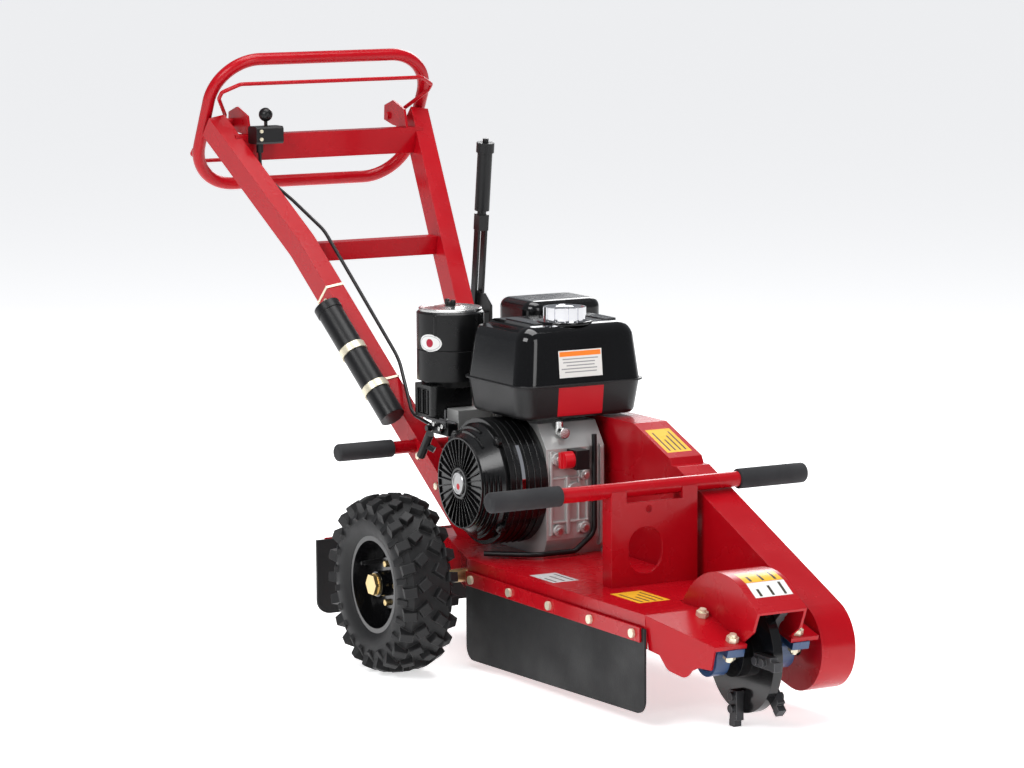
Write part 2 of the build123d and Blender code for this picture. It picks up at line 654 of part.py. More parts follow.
def loop_frame():
    lean = math.radians(LOOP_LEAN)
    return Plane(origin=(LOOP_X, 0, LOOP_Z), x_dir=(0, 1, 0), z_dir=(math.cos(lean), 0, -math.sin(lean)))


def loop_sweep(radius):
    outline = loop_frame() * RectangleRounded(2 * LOOP_HALF_WIDTH, 2 * LOOP_HALF_HEIGHT, LOOP_CORNER)
    wire = outline.faces()[0].outer_wire()
    section = Plane(origin=wire @ 0, z_dir=wire % 0) * Circle(radius)
    return sweep(section, path=wire)


def handle_solid():
    tube = handle_sweep(HANDLE_WIDTH, HANDLE_DEPTH, 0.2)
    bore = handle_sweep(HANDLE_WIDTH - 2 * HANDLE_WALL, HANDLE_DEPTH - 2 * HANDLE_WALL, 0.2)
    tube = tube - bore
    tube -= box(-600, 0, 0, 200, 0, DECK_TOP)
    tube -= loop_sweep(LOOP_TUBE + 0.1)
    tube -= rod_y(REAR_BAR_X, REAR_BAR_Z, REAR_BAR_TUBE + 0.1, 0, 300)
    return max(tube.solids(), key=lambda solid: solid.volume)


def cross_solids():
    filled = handle_sweep(HANDLE_WIDTH, HANDLE_DEPTH, 0.0)
    filled += mirrored(filled)
    middle = box(-684, -644, -150, 150, 690, 726) - box(-681, -647, -160, 160, 693, 723)
    reach = HANDLE_TOP[1] - HANDLE_WIDTH / 2
    top = box(-881, -843, -reach, reach, 879, 931) - box(-878, -846, -reach - 8, reach + 8, 882, 928)
    solids = []
    for tube in (middle, top):
        solids.append(max((tube - filled).solids(), key=lambda solid: solid.volume))
    return group(solids)


def loop_solid():
    return loop_sweep(LOOP_TUBE) - loop_sweep(LOOP_BORE)


def bail_bracket_solids():
    top = 931.0
    plate = plate_y([(-879, top), (-846, top), (-856, 968), (-905, 984), (-942, 972), (-944, 942),
                    (-905, 933)],
                    BRACKET_Y, BRACKET_Y + 5)
    plate += rod_y(LOOP_X, LOOP_Z, BAIL_PIN, BRACKET_Y - 4, BRACKET_Y + 34)
    plate += rod_y(LOOP_X, LOOP_Z, BAIL_PIN + 4, BRACKET_Y - 5, BRACKET_Y)
    return group([plate, mirrored(plate)])


def bail_solid():
    lean = math.radians(BAIL_LEAN)
    frame = Plane(origin=(LOOP_X, 0, LOOP_Z), x_dir=(0, 1, 0), z_dir=(math.cos(lean), 0, -math.sin(lean)))
    waist, bulge = BAIL_WAIST, BAIL_BULGE
    rods = Part()
    for up in (1, -1):
        points = [(waist, up * 4), (waist, up * 24), (bulge, up * 80), (bulge, up * 100),
                  (waist, up * BAIL_REACH), (-waist, up * BAIL_REACH), (-bulge, up * 100), (-bulge, up * 80),
                  (-waist, up * 24), (-waist, up * 4)]
        path = FilletPolyline(*points, radius=[16, 14, 8, 16, 16, 8, 14, 16])
        path = frame * path
        section = Plane(origin=path @ 0, z_dir=path % 0) * Circle(BAIL_ROD)
        rods += sweep(section, path=path)
    hub = rod_y(LOOP_X, LOOP_Z, 9, BRACKET_Y + 5 + PIECE_GAP, waist + BAIL_ROD + 2)
    rods += hub + mirrored(hub)
    bore = rod_y(LOOP_X, LOOP_Z, BAIL_PIN + RUNNING_GAP, 0, waist + 5 * BAIL_ROD)
    return rods - bore - mirrored(bore)


def throttle_box_solid():
    case = box(-843, -803, THROTTLE_Y - 30, THROTTLE_Y + 30, 914, 949)
    case = chamfer(case.edges().filter_by(Axis.Y), 4)
    slot = box(-836, -810, THROTTLE_Y - 5, THROTTLE_Y + 5, 920, 960)
    pin = rod_y(THROTTLE_X, THROTTLE_Z, THROTTLE_PIN, THROTTLE_Y - 6, THROTTLE_Y + 6)
    nose = rod_z(THROTTLE_X, THROTTLE_Y - 14, 7, 896, 914)
    return case - slot + pin + nose


def throttle_lever_solid():
    lever = rod_y(THROTTLE_X, THROTTLE_Z, 8, THROTTLE_Y - 2.5, THROTTLE_Y + 2.5)
    lever += box(THROTTLE_X - 3, THROTTLE_X + 3, THROTTLE_Y - 2.5, THROTTLE_Y + 2.5,
                 THROTTLE_Z, THROTTLE_Z + 34)
    lever += Pos(THROTTLE_X, THROTTLE_Y, THROTTLE_Z + 42) * Sphere(THROTTLE_BALL)
    return lever - rod_y(THROTTLE_X, THROTTLE_Z, THROTTLE_PIN + RUNNING_GAP, THROTTLE_Y - 5, THROTTLE_Y + 5)


def throttle_cable_solid():
    route = FilletPolyline((THROTTLE_X, THROTTLE_Y - 14, 896), (THROTTLE_X, THROTTLE_Y - 14, 856),
                           (-730, -143, 806), (-640, -119, 752), (-560, -102, 668), (-420, -70, 516),
                               (-310, -100, 424),
                           (-209.5, -103, 410), radius=[40, 120, 100, 160, 120, 70])
    section = Plane(origin=route @ 0, z_dir=route % 0) * Circle(CABLE_RADIUS)
    return sweep(section, path=route)


def on_lever(piece):
    return Pos(LEVER_X, LEVER_Y, LEVER_Z) * Rot(0, LEVER_LEAN, 0) * piece


def brake_bracket_solid():
    plate = plate_y([(LEVER_X - 16, LEVER_Z - 14), (LEVER_X + 62, LEVER_Z - 26),
                     (LEVER_X + 62, LEVER_Z + 18),
                     (LEVER_X + 34, LEVER_Z + 40), (LEVER_X - 12, LEVER_Z + 44),
                         (LEVER_X - 16, LEVER_Z + 12)],
                    LEVER_Y - 2.5, LEVER_Y + 2.5)
    arm = box(LEVER_X + 28, LEVER_X + 60, 120, LEVER_Y, LEVER_Z - 22, LEVER_Z + 4)
    arm -= handle_sweep(HANDLE_WIDTH, HANDLE_DEPTH, 0.0)
    arm = max(arm.solids(), key=lambda solid: solid.center().Y)
    pin = rod_y(LEVER_X, LEVER_Z, BRAKE_PIN, LEVER_Y - 12, LEVER_Y + 12)
    heads = rod_y(LEVER_X, LEVER_Z, 8, LEVER_Y + 11.5, LEVER_Y + 15) + rod_y(
        LEVER_X, LEVER_Z, 8, LEVER_Y - 15, LEVER_Y - 11.5)
    return plate + arm + pin + heads


def brake_lever_solid():
    lever = Part()
    for side in (-1, 1):
        y0 = 5.5 if side > 0 else -10.5
        lever += rod_y(0, 0, 12, y0, y0 + 5) + box(-9, 9, y0, y0 + 5, 0, 178)
    lever += box(-11, 11, -11, 11, 168, 200)
    lever += rod_z(0, 0, 9, 195, 215)
    lever += rod_z(0, 0, BRAKE_GRIP_RADIUS, 208, 330)
    lever += rod_z(0, 0, BRAKE_GRIP_RADIUS + 3, 326, 346)
    lever -= rod_y(0, 0, BRAKE_PIN + RUNNING_GAP, -20, 20)
    lever -= rod_z(0, 0, BRAKE_BUTTON_RADIUS + RUNNING_GAP, 316, 350)
    return on_lever(lever)


def brake_button_solid():
    return on_lever(rod_z(0, 0, BRAKE_BUTTON_RADIUS, 325, 354))


def brake_cable_solid():
    route = FilletPolyline((-556, 184, 548), (-470, 158, 452), (-330, 132, 310), (-190, 176, 246),
                           (-100, 210, 232), (-30, 212, 232), radius=[160, 120, 90, 60])
    section = Plane(origin=route @ 0, z_dir=route % 0) * Circle(CABLE_RADIUS)
    return sweep(section, path=route)


def brake_caliper_solid():
    top = WHEEL_RADIUS + BRAKE_RADIUS
    block = box(-24, 24, BRAKE_Y - 16, BRAKE_Y + 12, top - 22, top + 10)
    block -= box(-30, 30, BRAKE_Y - 3.5, BRAKE_Y + 3.5, top - 30, top + 3)
    arm = box(-16, 16, BRAKE_Y - 16, BRAKE_Y - 10, WHEEL_RADIUS, top)
    collar = rod_y(0, WHEEL_RADIUS, 24, BRAKE_Y - 22, BRAKE_Y - 10)
    return block + arm + collar - rod_y(0, WHEEL_RADIUS, AXLE_RADIUS, 0, 300)


def document_tube_ends():
    upper = along(HANDLE_BEND, HANDLE_FOOT, 0.207)
    lower = along(HANDLE_BEND, HANDLE_FOOT, 0.60)
    out = HANDLE_WIDTH / 2 + DOC_RADIUS
    return [(p[0] + 45, -(p[1] + out), p[2]) for p in (upper, lower)]


def document_tube_solid():
    upper, lower = document_tube_ends()
    cap_end = along(upper, lower, 0.06)
    return group([rod(cap_end, lower, DOC_RADIUS), rod(upper, cap_end, DOC_RADIUS + 1.5)])


def strap_solids():
    upper, lower = document_tube_ends()
    straps = []
    tube = mirrored(handle_sweep(HANDLE_WIDTH, HANDLE_DEPTH, 0.0))
    for share in (0.38, 0.72):
        start = along(upper, lower, share)
        end = along(upper, lower, share + 0.055)
        band = rod(start, end, DOC_RADIUS + 2.5) - rod(upper, lower, DOC_RADIUS)
        straps.append(band - tube)
    for share in (0.17, 0.5):
        centre = along(HANDLE_BEND, HANDLE_FOOT, share)
        centre = (centre[0], -centre[1], centre[2])
        heading = Vector(HANDLE_FOOT[0] - HANDLE_BEND[0], HANDLE_BEND[1] - HANDLE_FOOT[1],
                         HANDLE_FOOT[2] - HANDLE_BEND[2]).normalized()
        section = Plane(origin=centre, x_dir=Vector(0, 1, 0) - heading * heading.Y, z_dir=heading)
        ring = section * (Rectangle(HANDLE_WIDTH + 3, HANDLE_DEPTH + 3) - Rectangle(HANDLE_WIDTH + 0.2,
                                                                                   HANDLE_DEPTH + 0.2))
        tie = extrude(ring, amount=5)
        straps.append(tie)
    return straps


# ---- lift bars, flaps and small fasteners ----
def front_lift_frame_solid():
    x0, x1 = FRONT_BAR_X - 16, FRONT_BAR_X + 16
    frame = box(x0, x1, -88, -57, DECK_TOP, FRONT_BAR_Z) + box(x0, x1, 60, 91, DECK_TOP, FRONT_BAR_Z)
    frame -= box(x0 - 1, x1 - 4, -84, -61, DECK_TOP - 1, FRONT_BAR_Z + 1)
    frame -= box(x0 - 1, x1 - 4, 64, 87, DECK_TOP - 1, FRONT_BAR_Z + 1)
    panel = box(x1 - 6, x1, -58, 61, DECK_TOP, FRONT_BAR_Z - 22)
    window = Pos(LIFT_WINDOW_Y, LIFT_WINDOW_Z) * RectangleRounded(LIFT_WINDOW_WIDTH, LIFT_WINDOW_HEIGHT,
                                                                   LIFT_WINDOW_CORNER)
    window = extrude(Plane.YZ * window, amount=FRONT_BAR_X + 60)
    panel -= window
    panel -= Pos(FRONT_BAR_X, -11, TIE_DOWN_Z) * Rot(0, 90, 0) * Cylinder(TIE_DOWN_RADIUS, 80)
    return frame + panel - rod_y(FRONT_BAR_X, FRONT_BAR_Z, LIFT_TUBE, -200, 200)


def bar_solid(x, z, radius, half):
    return rod_y(x, z, radius, -half, half) - rod_y(x, z, radius - 3, -half - 1, half + 1)


def grip_solids():
    grips = []
    rows = ((FRONT_BAR_X, FRONT_BAR_Z, LIFT_TUBE, FRONT_BAR_HALF, GRIP_LENGTH),
            (REAR_BAR_X, REAR_BAR_Z, REAR_BAR_TUBE, REAR_BAR_HALF, REAR_GRIP_LENGTH))
    for x, z, radius, half, length in rows:
        grip = rod_y(x, z, radius + GRIP_WALL, half - length, half + 5)
        grip -= rod_y(x, z, radius, half - length - 1, half)
        grips += [grip, mirrored(grip)]
    return grips


def strip_bolt_places():
    pitch = (DECK_FRONT_X - STRIP_REAR_X - 50) / (STRIP_BOLTS - 1)
    return [STRIP_REAR_X + 22 + pitch * index for index in range(STRIP_BOLTS)]


def flap_strip_solids():
    z = DECK_TOP - STRIP_DROP
    strip = box(STRIP_REAR_X, DECK_FRONT_X - 6, -DECK_RIGHT - 8, -DECK_RIGHT - 4, z - 13, z + 13)
    rear = box(DECK_TAIL_X - 10, DECK_TAIL_X - 6, -300, 300, z + 14, z + 38)
    return group([strip, rear])


def flap_solids():
    z = DECK_TOP - STRIP_DROP
    front_x = DECK_FRONT_X + 4
    outline = Polyline((STRIP_REAR_X - 6, FLAP_GROUND_GAP), (front_x, 26), (front_x, z + 11),
                       (STRIP_REAR_X - 6, z + 11), close=True)
    side = make_face(outline)
    side = face_y(fillet(side.vertices().sort_by(Axis.Y)[:2], FLAP_CORNER), -DECK_RIGHT - 4, -DECK_RIGHT)
    rear = box(DECK_TAIL_X - 6, DECK_TAIL_X, -REAR_FLAP_HALF, REAR_FLAP_HALF, REAR_FLAP_GROUND_GAP, z + 36)
    rear = fillet(rear.edges().filter_by(Axis.X).group_by(Axis.Z)[0], FLAP_CORNER)
    return group([side, rear])


def frame_bolt_solids():
    z = DECK_TOP - STRIP_DROP
    bolts = bearing_bolt_solids()
    for x in strip_bolt_places():
        bolts.append(rod_y(x, z, BOLT_HEAD_RADIUS, -DECK_RIGHT - 13, -DECK_RIGHT - 8))
    for y in (-260, -130, 130, 260):
        head = Pos(DECK_TAIL_X - 12, y, z + 26) * Rot(0, 90, 0) * Cylinder(BOLT_HEAD_RADIUS, 4)
        bolts.append(head)
    return group(bolts)


def build_parts():
    parts["deck_plate"] = deck_solid()
    parts["bearing_shelves"] = shelf_solids()
    parts["cutter_housing"] = housing_solid()
    parts["front_lift_frame"] = front_lift_frame_solid()
    parts["front_lift_bar"] = bar_solid(FRONT_BAR_X, FRONT_BAR_Z, LIFT_TUBE, FRONT_BAR_HALF)
    parts["rear_lift_bar"] = bar_solid(REAR_BAR_X, REAR_BAR_Z, REAR_BAR_TUBE, REAR_BAR_HALF)
    parts["lift_grips"] = group(grip_solids())
    left_handle = handle_solid()
    parts["handle_tube_left"] = left_handle
    parts["handle_tube_right"] = mirrored(left_handle)
    parts["handle_cross_tubes"] = cross_solids()
    parts["handlebar_loop"] = loop_solid()
    parts["bail_brackets"] = bail_bracket_solids()
    parts["bail"] = bail_solid()
    parts["throttle_box"] = throttle_box_solid()
    parts["throttle_lever"] = throttle_lever_solid()
    parts["throttle_cable"] = throttle_cable_solid()
    parts["brake_bracket"] = brake_bracket_solid()
    parts["brake_lever"] = brake_lever_solid()
    parts["brake_button"] = brake_button_solid()
    parts["brake_cable"] = brake_cable_solid()
    parts["brake_caliper"] = brake_caliper_solid()
    parts["document_tube"] = document_tube_solid()
    parts["tube_straps"] = group(strap_solids())
    parts["axle"] = axle_solid()
    tyre = tyre_solid()
    parts["left_tyre"] = tyre
    parts["right_tyre"] = mirrored(tyre)
    parts["left_rim"] = rim_solid()
    parts["right_rim"] = mirrored(rim_solid())
    parts["right_wheel_disc"] = mirrored(wheel_disc_solid(TRACK_HALF - HUB_REACH))
    disc = rod_y(0, WHEEL_RADIUS, BRAKE_RADIUS, BRAKE_Y - BRAKE_DISC_HALF, BRAKE_Y + BRAKE_DISC_HALF)
    disc -= rod_y(0, WHEEL_RADIUS, AXLE_RADIUS + RUNNING_GAP, 0, 300)
    parts["left_wheel_disc"] = wheel_disc_solid(BRAKE_Y - BRAKE_DISC_HALF) + disc
    parts["cutter_disc"] = disc_solid()
    parts["cutter_shaft"] = cutter_shaft_solid()
    parts["cutter_teeth"] = teeth_solids()
    parts["bearing_blocks"] = bearing_solids()
    parts["frame_bolts"] = frame_bolt_solids()
    parts["driven_pulley"] = pulley_solid(CUTTER_X, CUTTER_Z, DRIVEN_RADIUS, CUTTER_SHAFT_RADIUS)
    parts["clutch_pulley"] = pulley_solid(CRANK_X, CRANK_Z, CLUTCH_RADIUS, CRANK_RADIUS)
    parts["drive_belt"] = belt_solid()
    parts["belt_guard"] = guard_solid()
    parts["belt_guard_back"] = guard_back_solid()
    parts["flap_strips"] = flap_strip_solids()
    parts["rubber_flaps"] = flap_solids()
    parts["crankcase"] = crankcase_solid()
    parts["crankcase_cover"] = crankcase_cover_solid()
    parts["cylinder_block"] = cylinder_solids()
    parts["fan_shroud"] = shroud_solid()
    parts["recoil_cover"] = recoil_solid()
    parts["recoil_grip"] = pull_grip_solid()
    parts["crankshaft"] = crankshaft_solid()
    parts["flywheel"] = flywheel_solid()
    parts["fuel_tank"] = tank_solid()
    parts["fuel_cap"] = cap_solid()
    parts["air_cleaner"] = air_cleaner_solids()
    parts["carburettor"] = carburettor_solid()
    parts["muffler"] = muffler_solid()
    parts["muffler_guard"] = muffler_guard_solid()
    parts["control_panel"] = control_panel_solid()
    parts["choke_lever"] = choke_lever_solid()
    parts["engine_wiring"] = wiring_solids()
    parts["switch_knob"] = switch_knob_solid()


def whole_span():
    boxes = [piece.bounding_box() for piece in parts.values()]
    return min(b.min.X for b in boxes), max(b.max.X for b in boxes)


build_parts()
REAR_END, FRONT_END = whole_span()
CENTRE_X = (REAR_END + FRONT_END) / 2
os.makedirs("parts", exist_ok=True)
for name, piece in parts.items():
    export_step(Pos(-CENTRE_X, 0, 0) * piece, f"parts/{name}.step")
print("length", round(FRONT_END - REAR_END, 1), "axle at x", round(-CENTRE_X, 3), "nodes", len(parts))
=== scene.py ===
import math

import bpy
from mathutils import Matrix, Vector


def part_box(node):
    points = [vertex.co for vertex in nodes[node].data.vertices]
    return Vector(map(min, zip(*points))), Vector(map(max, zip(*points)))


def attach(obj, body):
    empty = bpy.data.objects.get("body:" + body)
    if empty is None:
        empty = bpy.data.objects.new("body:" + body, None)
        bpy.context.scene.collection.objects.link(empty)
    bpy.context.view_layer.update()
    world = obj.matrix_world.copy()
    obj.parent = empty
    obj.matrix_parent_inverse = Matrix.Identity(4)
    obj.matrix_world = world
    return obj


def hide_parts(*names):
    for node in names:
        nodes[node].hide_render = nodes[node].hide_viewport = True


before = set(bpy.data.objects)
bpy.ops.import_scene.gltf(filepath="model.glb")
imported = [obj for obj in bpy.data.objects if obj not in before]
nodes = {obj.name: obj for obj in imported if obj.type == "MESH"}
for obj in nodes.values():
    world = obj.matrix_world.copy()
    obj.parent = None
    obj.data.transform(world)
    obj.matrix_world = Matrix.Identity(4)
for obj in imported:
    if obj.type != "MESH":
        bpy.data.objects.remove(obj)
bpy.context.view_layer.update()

# ---- Camera ----
# A long lens about 1.5 m up, off the machine's front right-hand corner. The engine's and the
# handle's small parts further down are placed from the axle's x.
axle_low, axle_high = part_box("axle")
axle_x = (axle_low.x + axle_high.x) / 2
camera_turn = math.radians(60.6)
camera_dip = math.radians(7.84)
camera_roll = math.radians(-0.31)
camera_distance = 7.444
aim = Vector((axle_x - 0.010, -0.0486, 0.5134))
back = Vector((math.sin(camera_turn) * math.cos(camera_dip),
               -math.cos(camera_turn) * math.cos(camera_dip), math.sin(camera_dip)))
level = Vector((math.cos(camera_turn), math.sin(camera_turn), 0))
upright = back.cross(level)
right = level * math.cos(camera_roll) + upright * math.sin(camera_roll)
up = upright * math.cos(camera_roll) - level * math.sin(camera_roll)
camera = bpy.data.objects.new("camera", bpy.data.cameras.new("camera"))
camera.data.lens = 140.6
camera.data.sensor_width = 36
camera.data.clip_end = 200
camera_facing = Matrix((right, up, back)).transposed().to_4x4()
camera.matrix_world = Matrix.Translation(aim + back * camera_distance) @ camera_facing
bpy.context.scene.collection.objects.link(camera)
bpy.context.scene.camera = camera

# ---- Studio ----
# A white sweep of floor under large soft boxes: one high on the left, one low on the right, one
# overhead and one behind, with a dim room round them for the gloss to reflect.
bpy.ops.object.select_all(action="DESELECT")
bpy.ops.mesh.primitive_plane_add(size=120)
floor = bpy.context.object
floor.name = "floor"
floor_paper = bpy.data.materials.new("floor_paper")
floor_paper.use_nodes = True
paper = floor_paper.node_tree.nodes["Principled BSDF"]
paper.inputs["Base Color"].default_value = (0.93, 0.93, 0.93, 1)
paper.inputs["Roughness"].default_value = 0.9
paper.inputs["Specular IOR Level"].default_value = 0.1
paper.inputs["Emission Color"].default_value = (1, 1, 1, 1)
paper.inputs["Emission Strength"].default_value = 0.62
floor.data.materials.append(floor_paper)


def soft_box(name, place, width, height, watts):
    lamp = bpy.data.lights.new(name, "AREA")
    lamp.shape = "RECTANGLE"
    lamp.size = width
    lamp.size_y = height
    lamp.energy = watts
    box = bpy.data.objects.new(name, lamp)
    bpy.context.scene.collection.objects.link(box)
    toward = (Vector((axle_x, 0, 0.45)) - Vector(place)).normalized()
    facing = toward.to_track_quat("-Z", "Y").to_matrix().to_4x4()
    box.matrix_world = Matrix.Translation(place) @ facing
    return box


soft_box("key_box", (1.6, -3.6, 3.2), 2.4, 1.8, 120)
soft_box("front_box", (4.2, 0.6, 1.9), 1.6, 2.2, 42)
soft_box("top_box", (0.0, 0.2, 4.2), 3.4, 2.4, 150)
soft_box("rim_box", (-3.2, 2.6, 2.4), 1.4, 2.0, 55)
room = bpy.data.worlds.new("room")
bpy.context.scene.world = room
room.use_nodes = True
room_nodes = room.node_tree
room_light = room_nodes.nodes["Background"]
room_light.inputs["Color"].default_value = (0.9, 0.93, 1, 1)
room_light.inputs["Strength"].default_value = 0.27
white_wall = room_nodes.nodes.new("ShaderNodeBackground")
white_wall.inputs["Color"].default_value = (1, 1, 1, 1)
white_wall.inputs["Strength"].default_value = 1.05
seen = room_nodes.nodes.new("ShaderNodeLightPath")
either = room_nodes.nodes.new("ShaderNodeMixShader")
room_nodes.links.new(seen.outputs["Is Camera Ray"], either.inputs["Fac"])
room_nodes.links.new(room_light.outputs["Background"], either.inputs[1])
room_nodes.links.new(white_wall.outputs["Background"], either.inputs[2])
room_nodes.links.new(either.outputs["Shader"], room_nodes.nodes["World Output"].inputs["Surface"])
bpy.context.scene.view_settings.view_transform = "Standard"

# ---- Red weldment: deck, housing, shelves, frames, handle, guard ----
# Folded and welded mild steel plate and tube, shot-blasted and powder-coated in one deep gloss
# red. The coat has a fine orange-peel skin and is rubbed paler along its edges.


def finish_of(name, colour, roughness, metallic=0.0, grain=700.0, depth=0.08, mottle=0.08,
              coat=0.0, shine=0.5, worn=None):
    """A material whose colour, gloss and grain vary; its edges rub through to worn, if given."""
    made = bpy.data.materials.new(name)
    made.use_nodes = True
    tree = made.node_tree
    skin = tree.nodes["Principled BSDF"]
    skin.inputs["Metallic"].default_value = metallic
    skin.inputs["Coat Weight"].default_value = coat
    skin.inputs["Coat Roughness"].default_value = 0.06
    skin.inputs["Specular IOR Level"].default_value = shine
    place = tree.nodes.new("ShaderNodeTexCoord")
    cloud = tree.nodes.new("ShaderNodeTexNoise")
    cloud.inputs["Scale"].default_value = 11
    cloud.inputs["Detail"].default_value = 6
    tree.links.new(place.outputs["Object"], cloud.inputs["Vector"])
    fine = tree.nodes.new("ShaderNodeTexNoise")
    fine.inputs["Scale"].default_value = grain
    fine.inputs["Detail"].default_value = 3
    tree.links.new(place.outputs["Object"], fine.inputs["Vector"])
    tone = tree.nodes.new("ShaderNodeMix")
    tone.data_type = "RGBA"
    tone.inputs[6].default_value = [c * (1 - mottle) for c in colour] + [1]
    tone.inputs[7].default_value = [min(1, c * (1 + mottle) + 0.002) for c in colour] + [1]
    tree.links.new(cloud.outputs["Fac"], tone.inputs[0])
    shade = tone.outputs[2]
    gloss = tree.nodes.new("ShaderNodeMapRange")
    gloss.inputs["From Min"].default_value = 0.3
    gloss.inputs["From Max"].default_value = 0.7
    gloss.inputs["To Min"].default_value = roughness * 0.8
    gloss.inputs["To Max"].default_value = min(1, roughness * 1.25)
    tree.links.new(cloud.outputs["Fac"], gloss.inputs["Value"])
    tree.links.new(gloss.outputs["Result"], skin.inputs["Roughness"])
    pits = tree.nodes.new("ShaderNodeBump")
    pits.inputs["Strength"].default_value = depth
    pits.inputs["Distance"].default_value = 0.0006
    tree.links.new(fine.outputs["Fac"], pits.inputs["Height"])
    if worn:
        rounded = tree.nodes.new("ShaderNodeBevel")
        rounded.samples = 4
        rounded.inputs["Radius"].default_value = 0.0013
        tree.links.new(rounded.outputs["Normal"], pits.inputs["Normal"])
        flat = tree.nodes.new("ShaderNodeNewGeometry")
        turned = tree.nodes.new("ShaderNodeVectorMath")
        turned.operation = "DOT_PRODUCT"
        tree.links.new(rounded.outputs["Normal"], turned.inputs[0])
        tree.links.new(flat.outputs["Normal"], turned.inputs[1])
        edge = tree.nodes.new("ShaderNodeMapRange")
        edge.inputs["From Min"].default_value = 0.97
        edge.inputs["From Max"].default_value = 0.80
        tree.links.new(turned.outputs["Value"], edge.inputs["Value"])
        patchy = tree.nodes.new("ShaderNodeMath")
        patchy.operation = "MULTIPLY"
        tree.links.new(edge.outputs["Result"], patchy.inputs[0])
        tree.links.new(cloud.outputs["Fac"], patchy.inputs[1])
        rubbed = tree.nodes.new("ShaderNodeMix")
        rubbed.data_type = "RGBA"
        rubbed.inputs[7].default_value = list(worn) + [1]
        tree.links.new(patchy.outputs["Value"], rubbed.inputs[0])
        tree.links.new(shade, rubbed.inputs[6])
        shade = rubbed.outputs[2]
    tree.links.new(pits.outputs["Normal"], skin.inputs["Normal"])
    tree.links.new(shade, skin.inputs["Base Color"])
    return made


def recoat(material, *names):
    for name in names:
        nodes[name].data.materials.clear()
        nodes[name].data.materials.append(material)


powder_red = (0.37, 0.0010, 0.0062)
rubbed_red = (0.50, 0.03, 0.04)
red_coat = finish_of("red_coat", powder_red, 0.26, depth=0.05, coat=0.08, shine=0.22,
                     worn=rubbed_red)
recoat(red_coat, "deck_plate", "bearing_shelves", "cutter_housing", "front_lift_frame",
       "front_lift_bar", "rear_lift_bar", "handle_tube_left", "handle_tube_right",
       "handle_cross_tubes", "handlebar_loop", "bail_brackets", "bail", "belt_guard",
       "belt_guard_back", "flap_strips")

# ---- Machined, plated and painted small metal ----
# Turned shafts are bright steel and pulleys dark iron; the axle is yellow zinc and the bolts a
# paler zinc; pillow blocks are blue enamel on iron and rims black enamel. Brake, controls and
# engine covers are satin black.
bright_steel = finish_of("bright_steel", (0.62, 0.62, 0.61), 0.26, metallic=1, grain=1400,
                         depth=0.10)
dark_iron = finish_of("dark_iron", (0.05, 0.05, 0.053), 0.42, metallic=0.8, grain=900, depth=0.2,
                      worn=(0.35, 0.35, 0.35))
yellow_zinc = finish_of("yellow_zinc", (0.66, 0.50, 0.24), 0.3, metallic=0.9, mottle=0.2, depth=0.1)
pale_zinc = finish_of("pale_zinc", (0.74, 0.68, 0.52), 0.34, metallic=0.55, mottle=0.16, depth=0.1)
chrome = finish_of("chrome", (0.82, 0.82, 0.84), 0.07, metallic=1, depth=0.02, mottle=0.03)
blue_enamel = finish_of("blue_enamel", (0.012, 0.045, 0.13), 0.32, depth=0.25, grain=350, coat=0.3,
                        worn=(0.05, 0.10, 0.2))
black_enamel = finish_of("black_enamel", (0.003, 0.003, 0.0035), 0.16, depth=0.03, coat=0.2, shine=0.35,
                         worn=(0.03, 0.03, 0.03))
satin_black = finish_of("satin_black", (0.004, 0.004, 0.0045), 0.36, shine=0.3, depth=0.16, grain=800,
                        worn=(0.04, 0.04, 0.04))
recoat(yellow_zinc, "axle")
recoat(pale_zinc, "frame_bolts", "tube_straps")
recoat(bright_steel, "cutter_shaft", "crankshaft", "muffler")
recoat(dark_iron, "driven_pulley", "clutch_pulley", "flywheel", "cutter_teeth")
recoat(blue_enamel, "bearing_blocks")
recoat(black_enamel, "left_rim", "right_rim", "left_wheel_disc", "right_wheel_disc",
       "cutter_disc", "muffler_guard")
recoat(satin_black, "brake_bracket", "brake_lever", "brake_caliper", "fan_shroud", "recoil_cover",
       "throttle_box", "throttle_lever", "control_panel", "choke_lever", "engine_wiring",
       "brake_button", "recoil_grip", "document_tube", "throttle_cable", "brake_cable")

# ---- Rubber: drive belt and mud flaps ----
# The flaps are cut from stiff black rubber sheet and the belt is a moulded V belt. Both are
# matt and finely grained, a little uneven in tone.
black_rubber = finish_of("black_rubber", (0.007, 0.007, 0.0075), 0.55, shine=0.3, depth=0.3,
                         grain=300, mottle=0.18)
recoat(black_rubber, "drive_belt", "rubber_flaps")

# ---- Castings ----
# The engine's crankcase, its cover, the cylinder and the carburettor are cast aluminium, left
# grey, with a coarse cast skin that is brighter along its edges.
cast_aluminium = finish_of("cast_aluminium", (0.47, 0.47, 0.46), 0.40, metallic=0.6, grain=420,
                           depth=0.35, mottle=0.2, worn=(0.6, 0.6, 0.58))
recoat(cast_aluminium, "crankcase", "crankcase_cover", "cylinder_block", "carburettor")

# ---- Tyres ----
# Two 13-inch pneumatic tyres of moulded black rubber: a rounded carcass with four staggered
# rows of tread blocks across it and a row of small lugs over each shoulder.
tyre_black = finish_of("tyre_black", (0.0075, 0.0075, 0.008), 0.55, shine=0.3, depth=0.45,
                       grain=260, mottle=0.3, worn=(0.045, 0.044, 0.042))


def hold(piece):
    """Makes the piece the only one that the next operator acts on."""
    bpy.ops.object.select_all(action="DESELECT")
    piece.select_set(True)
    bpy.context.view_layer.objects.active = piece


def settle(piece, name):
    piece.name = name
    hold(piece)
    bpy.ops.object.transform_apply(location=True, rotation=True, scale=True)
    return piece


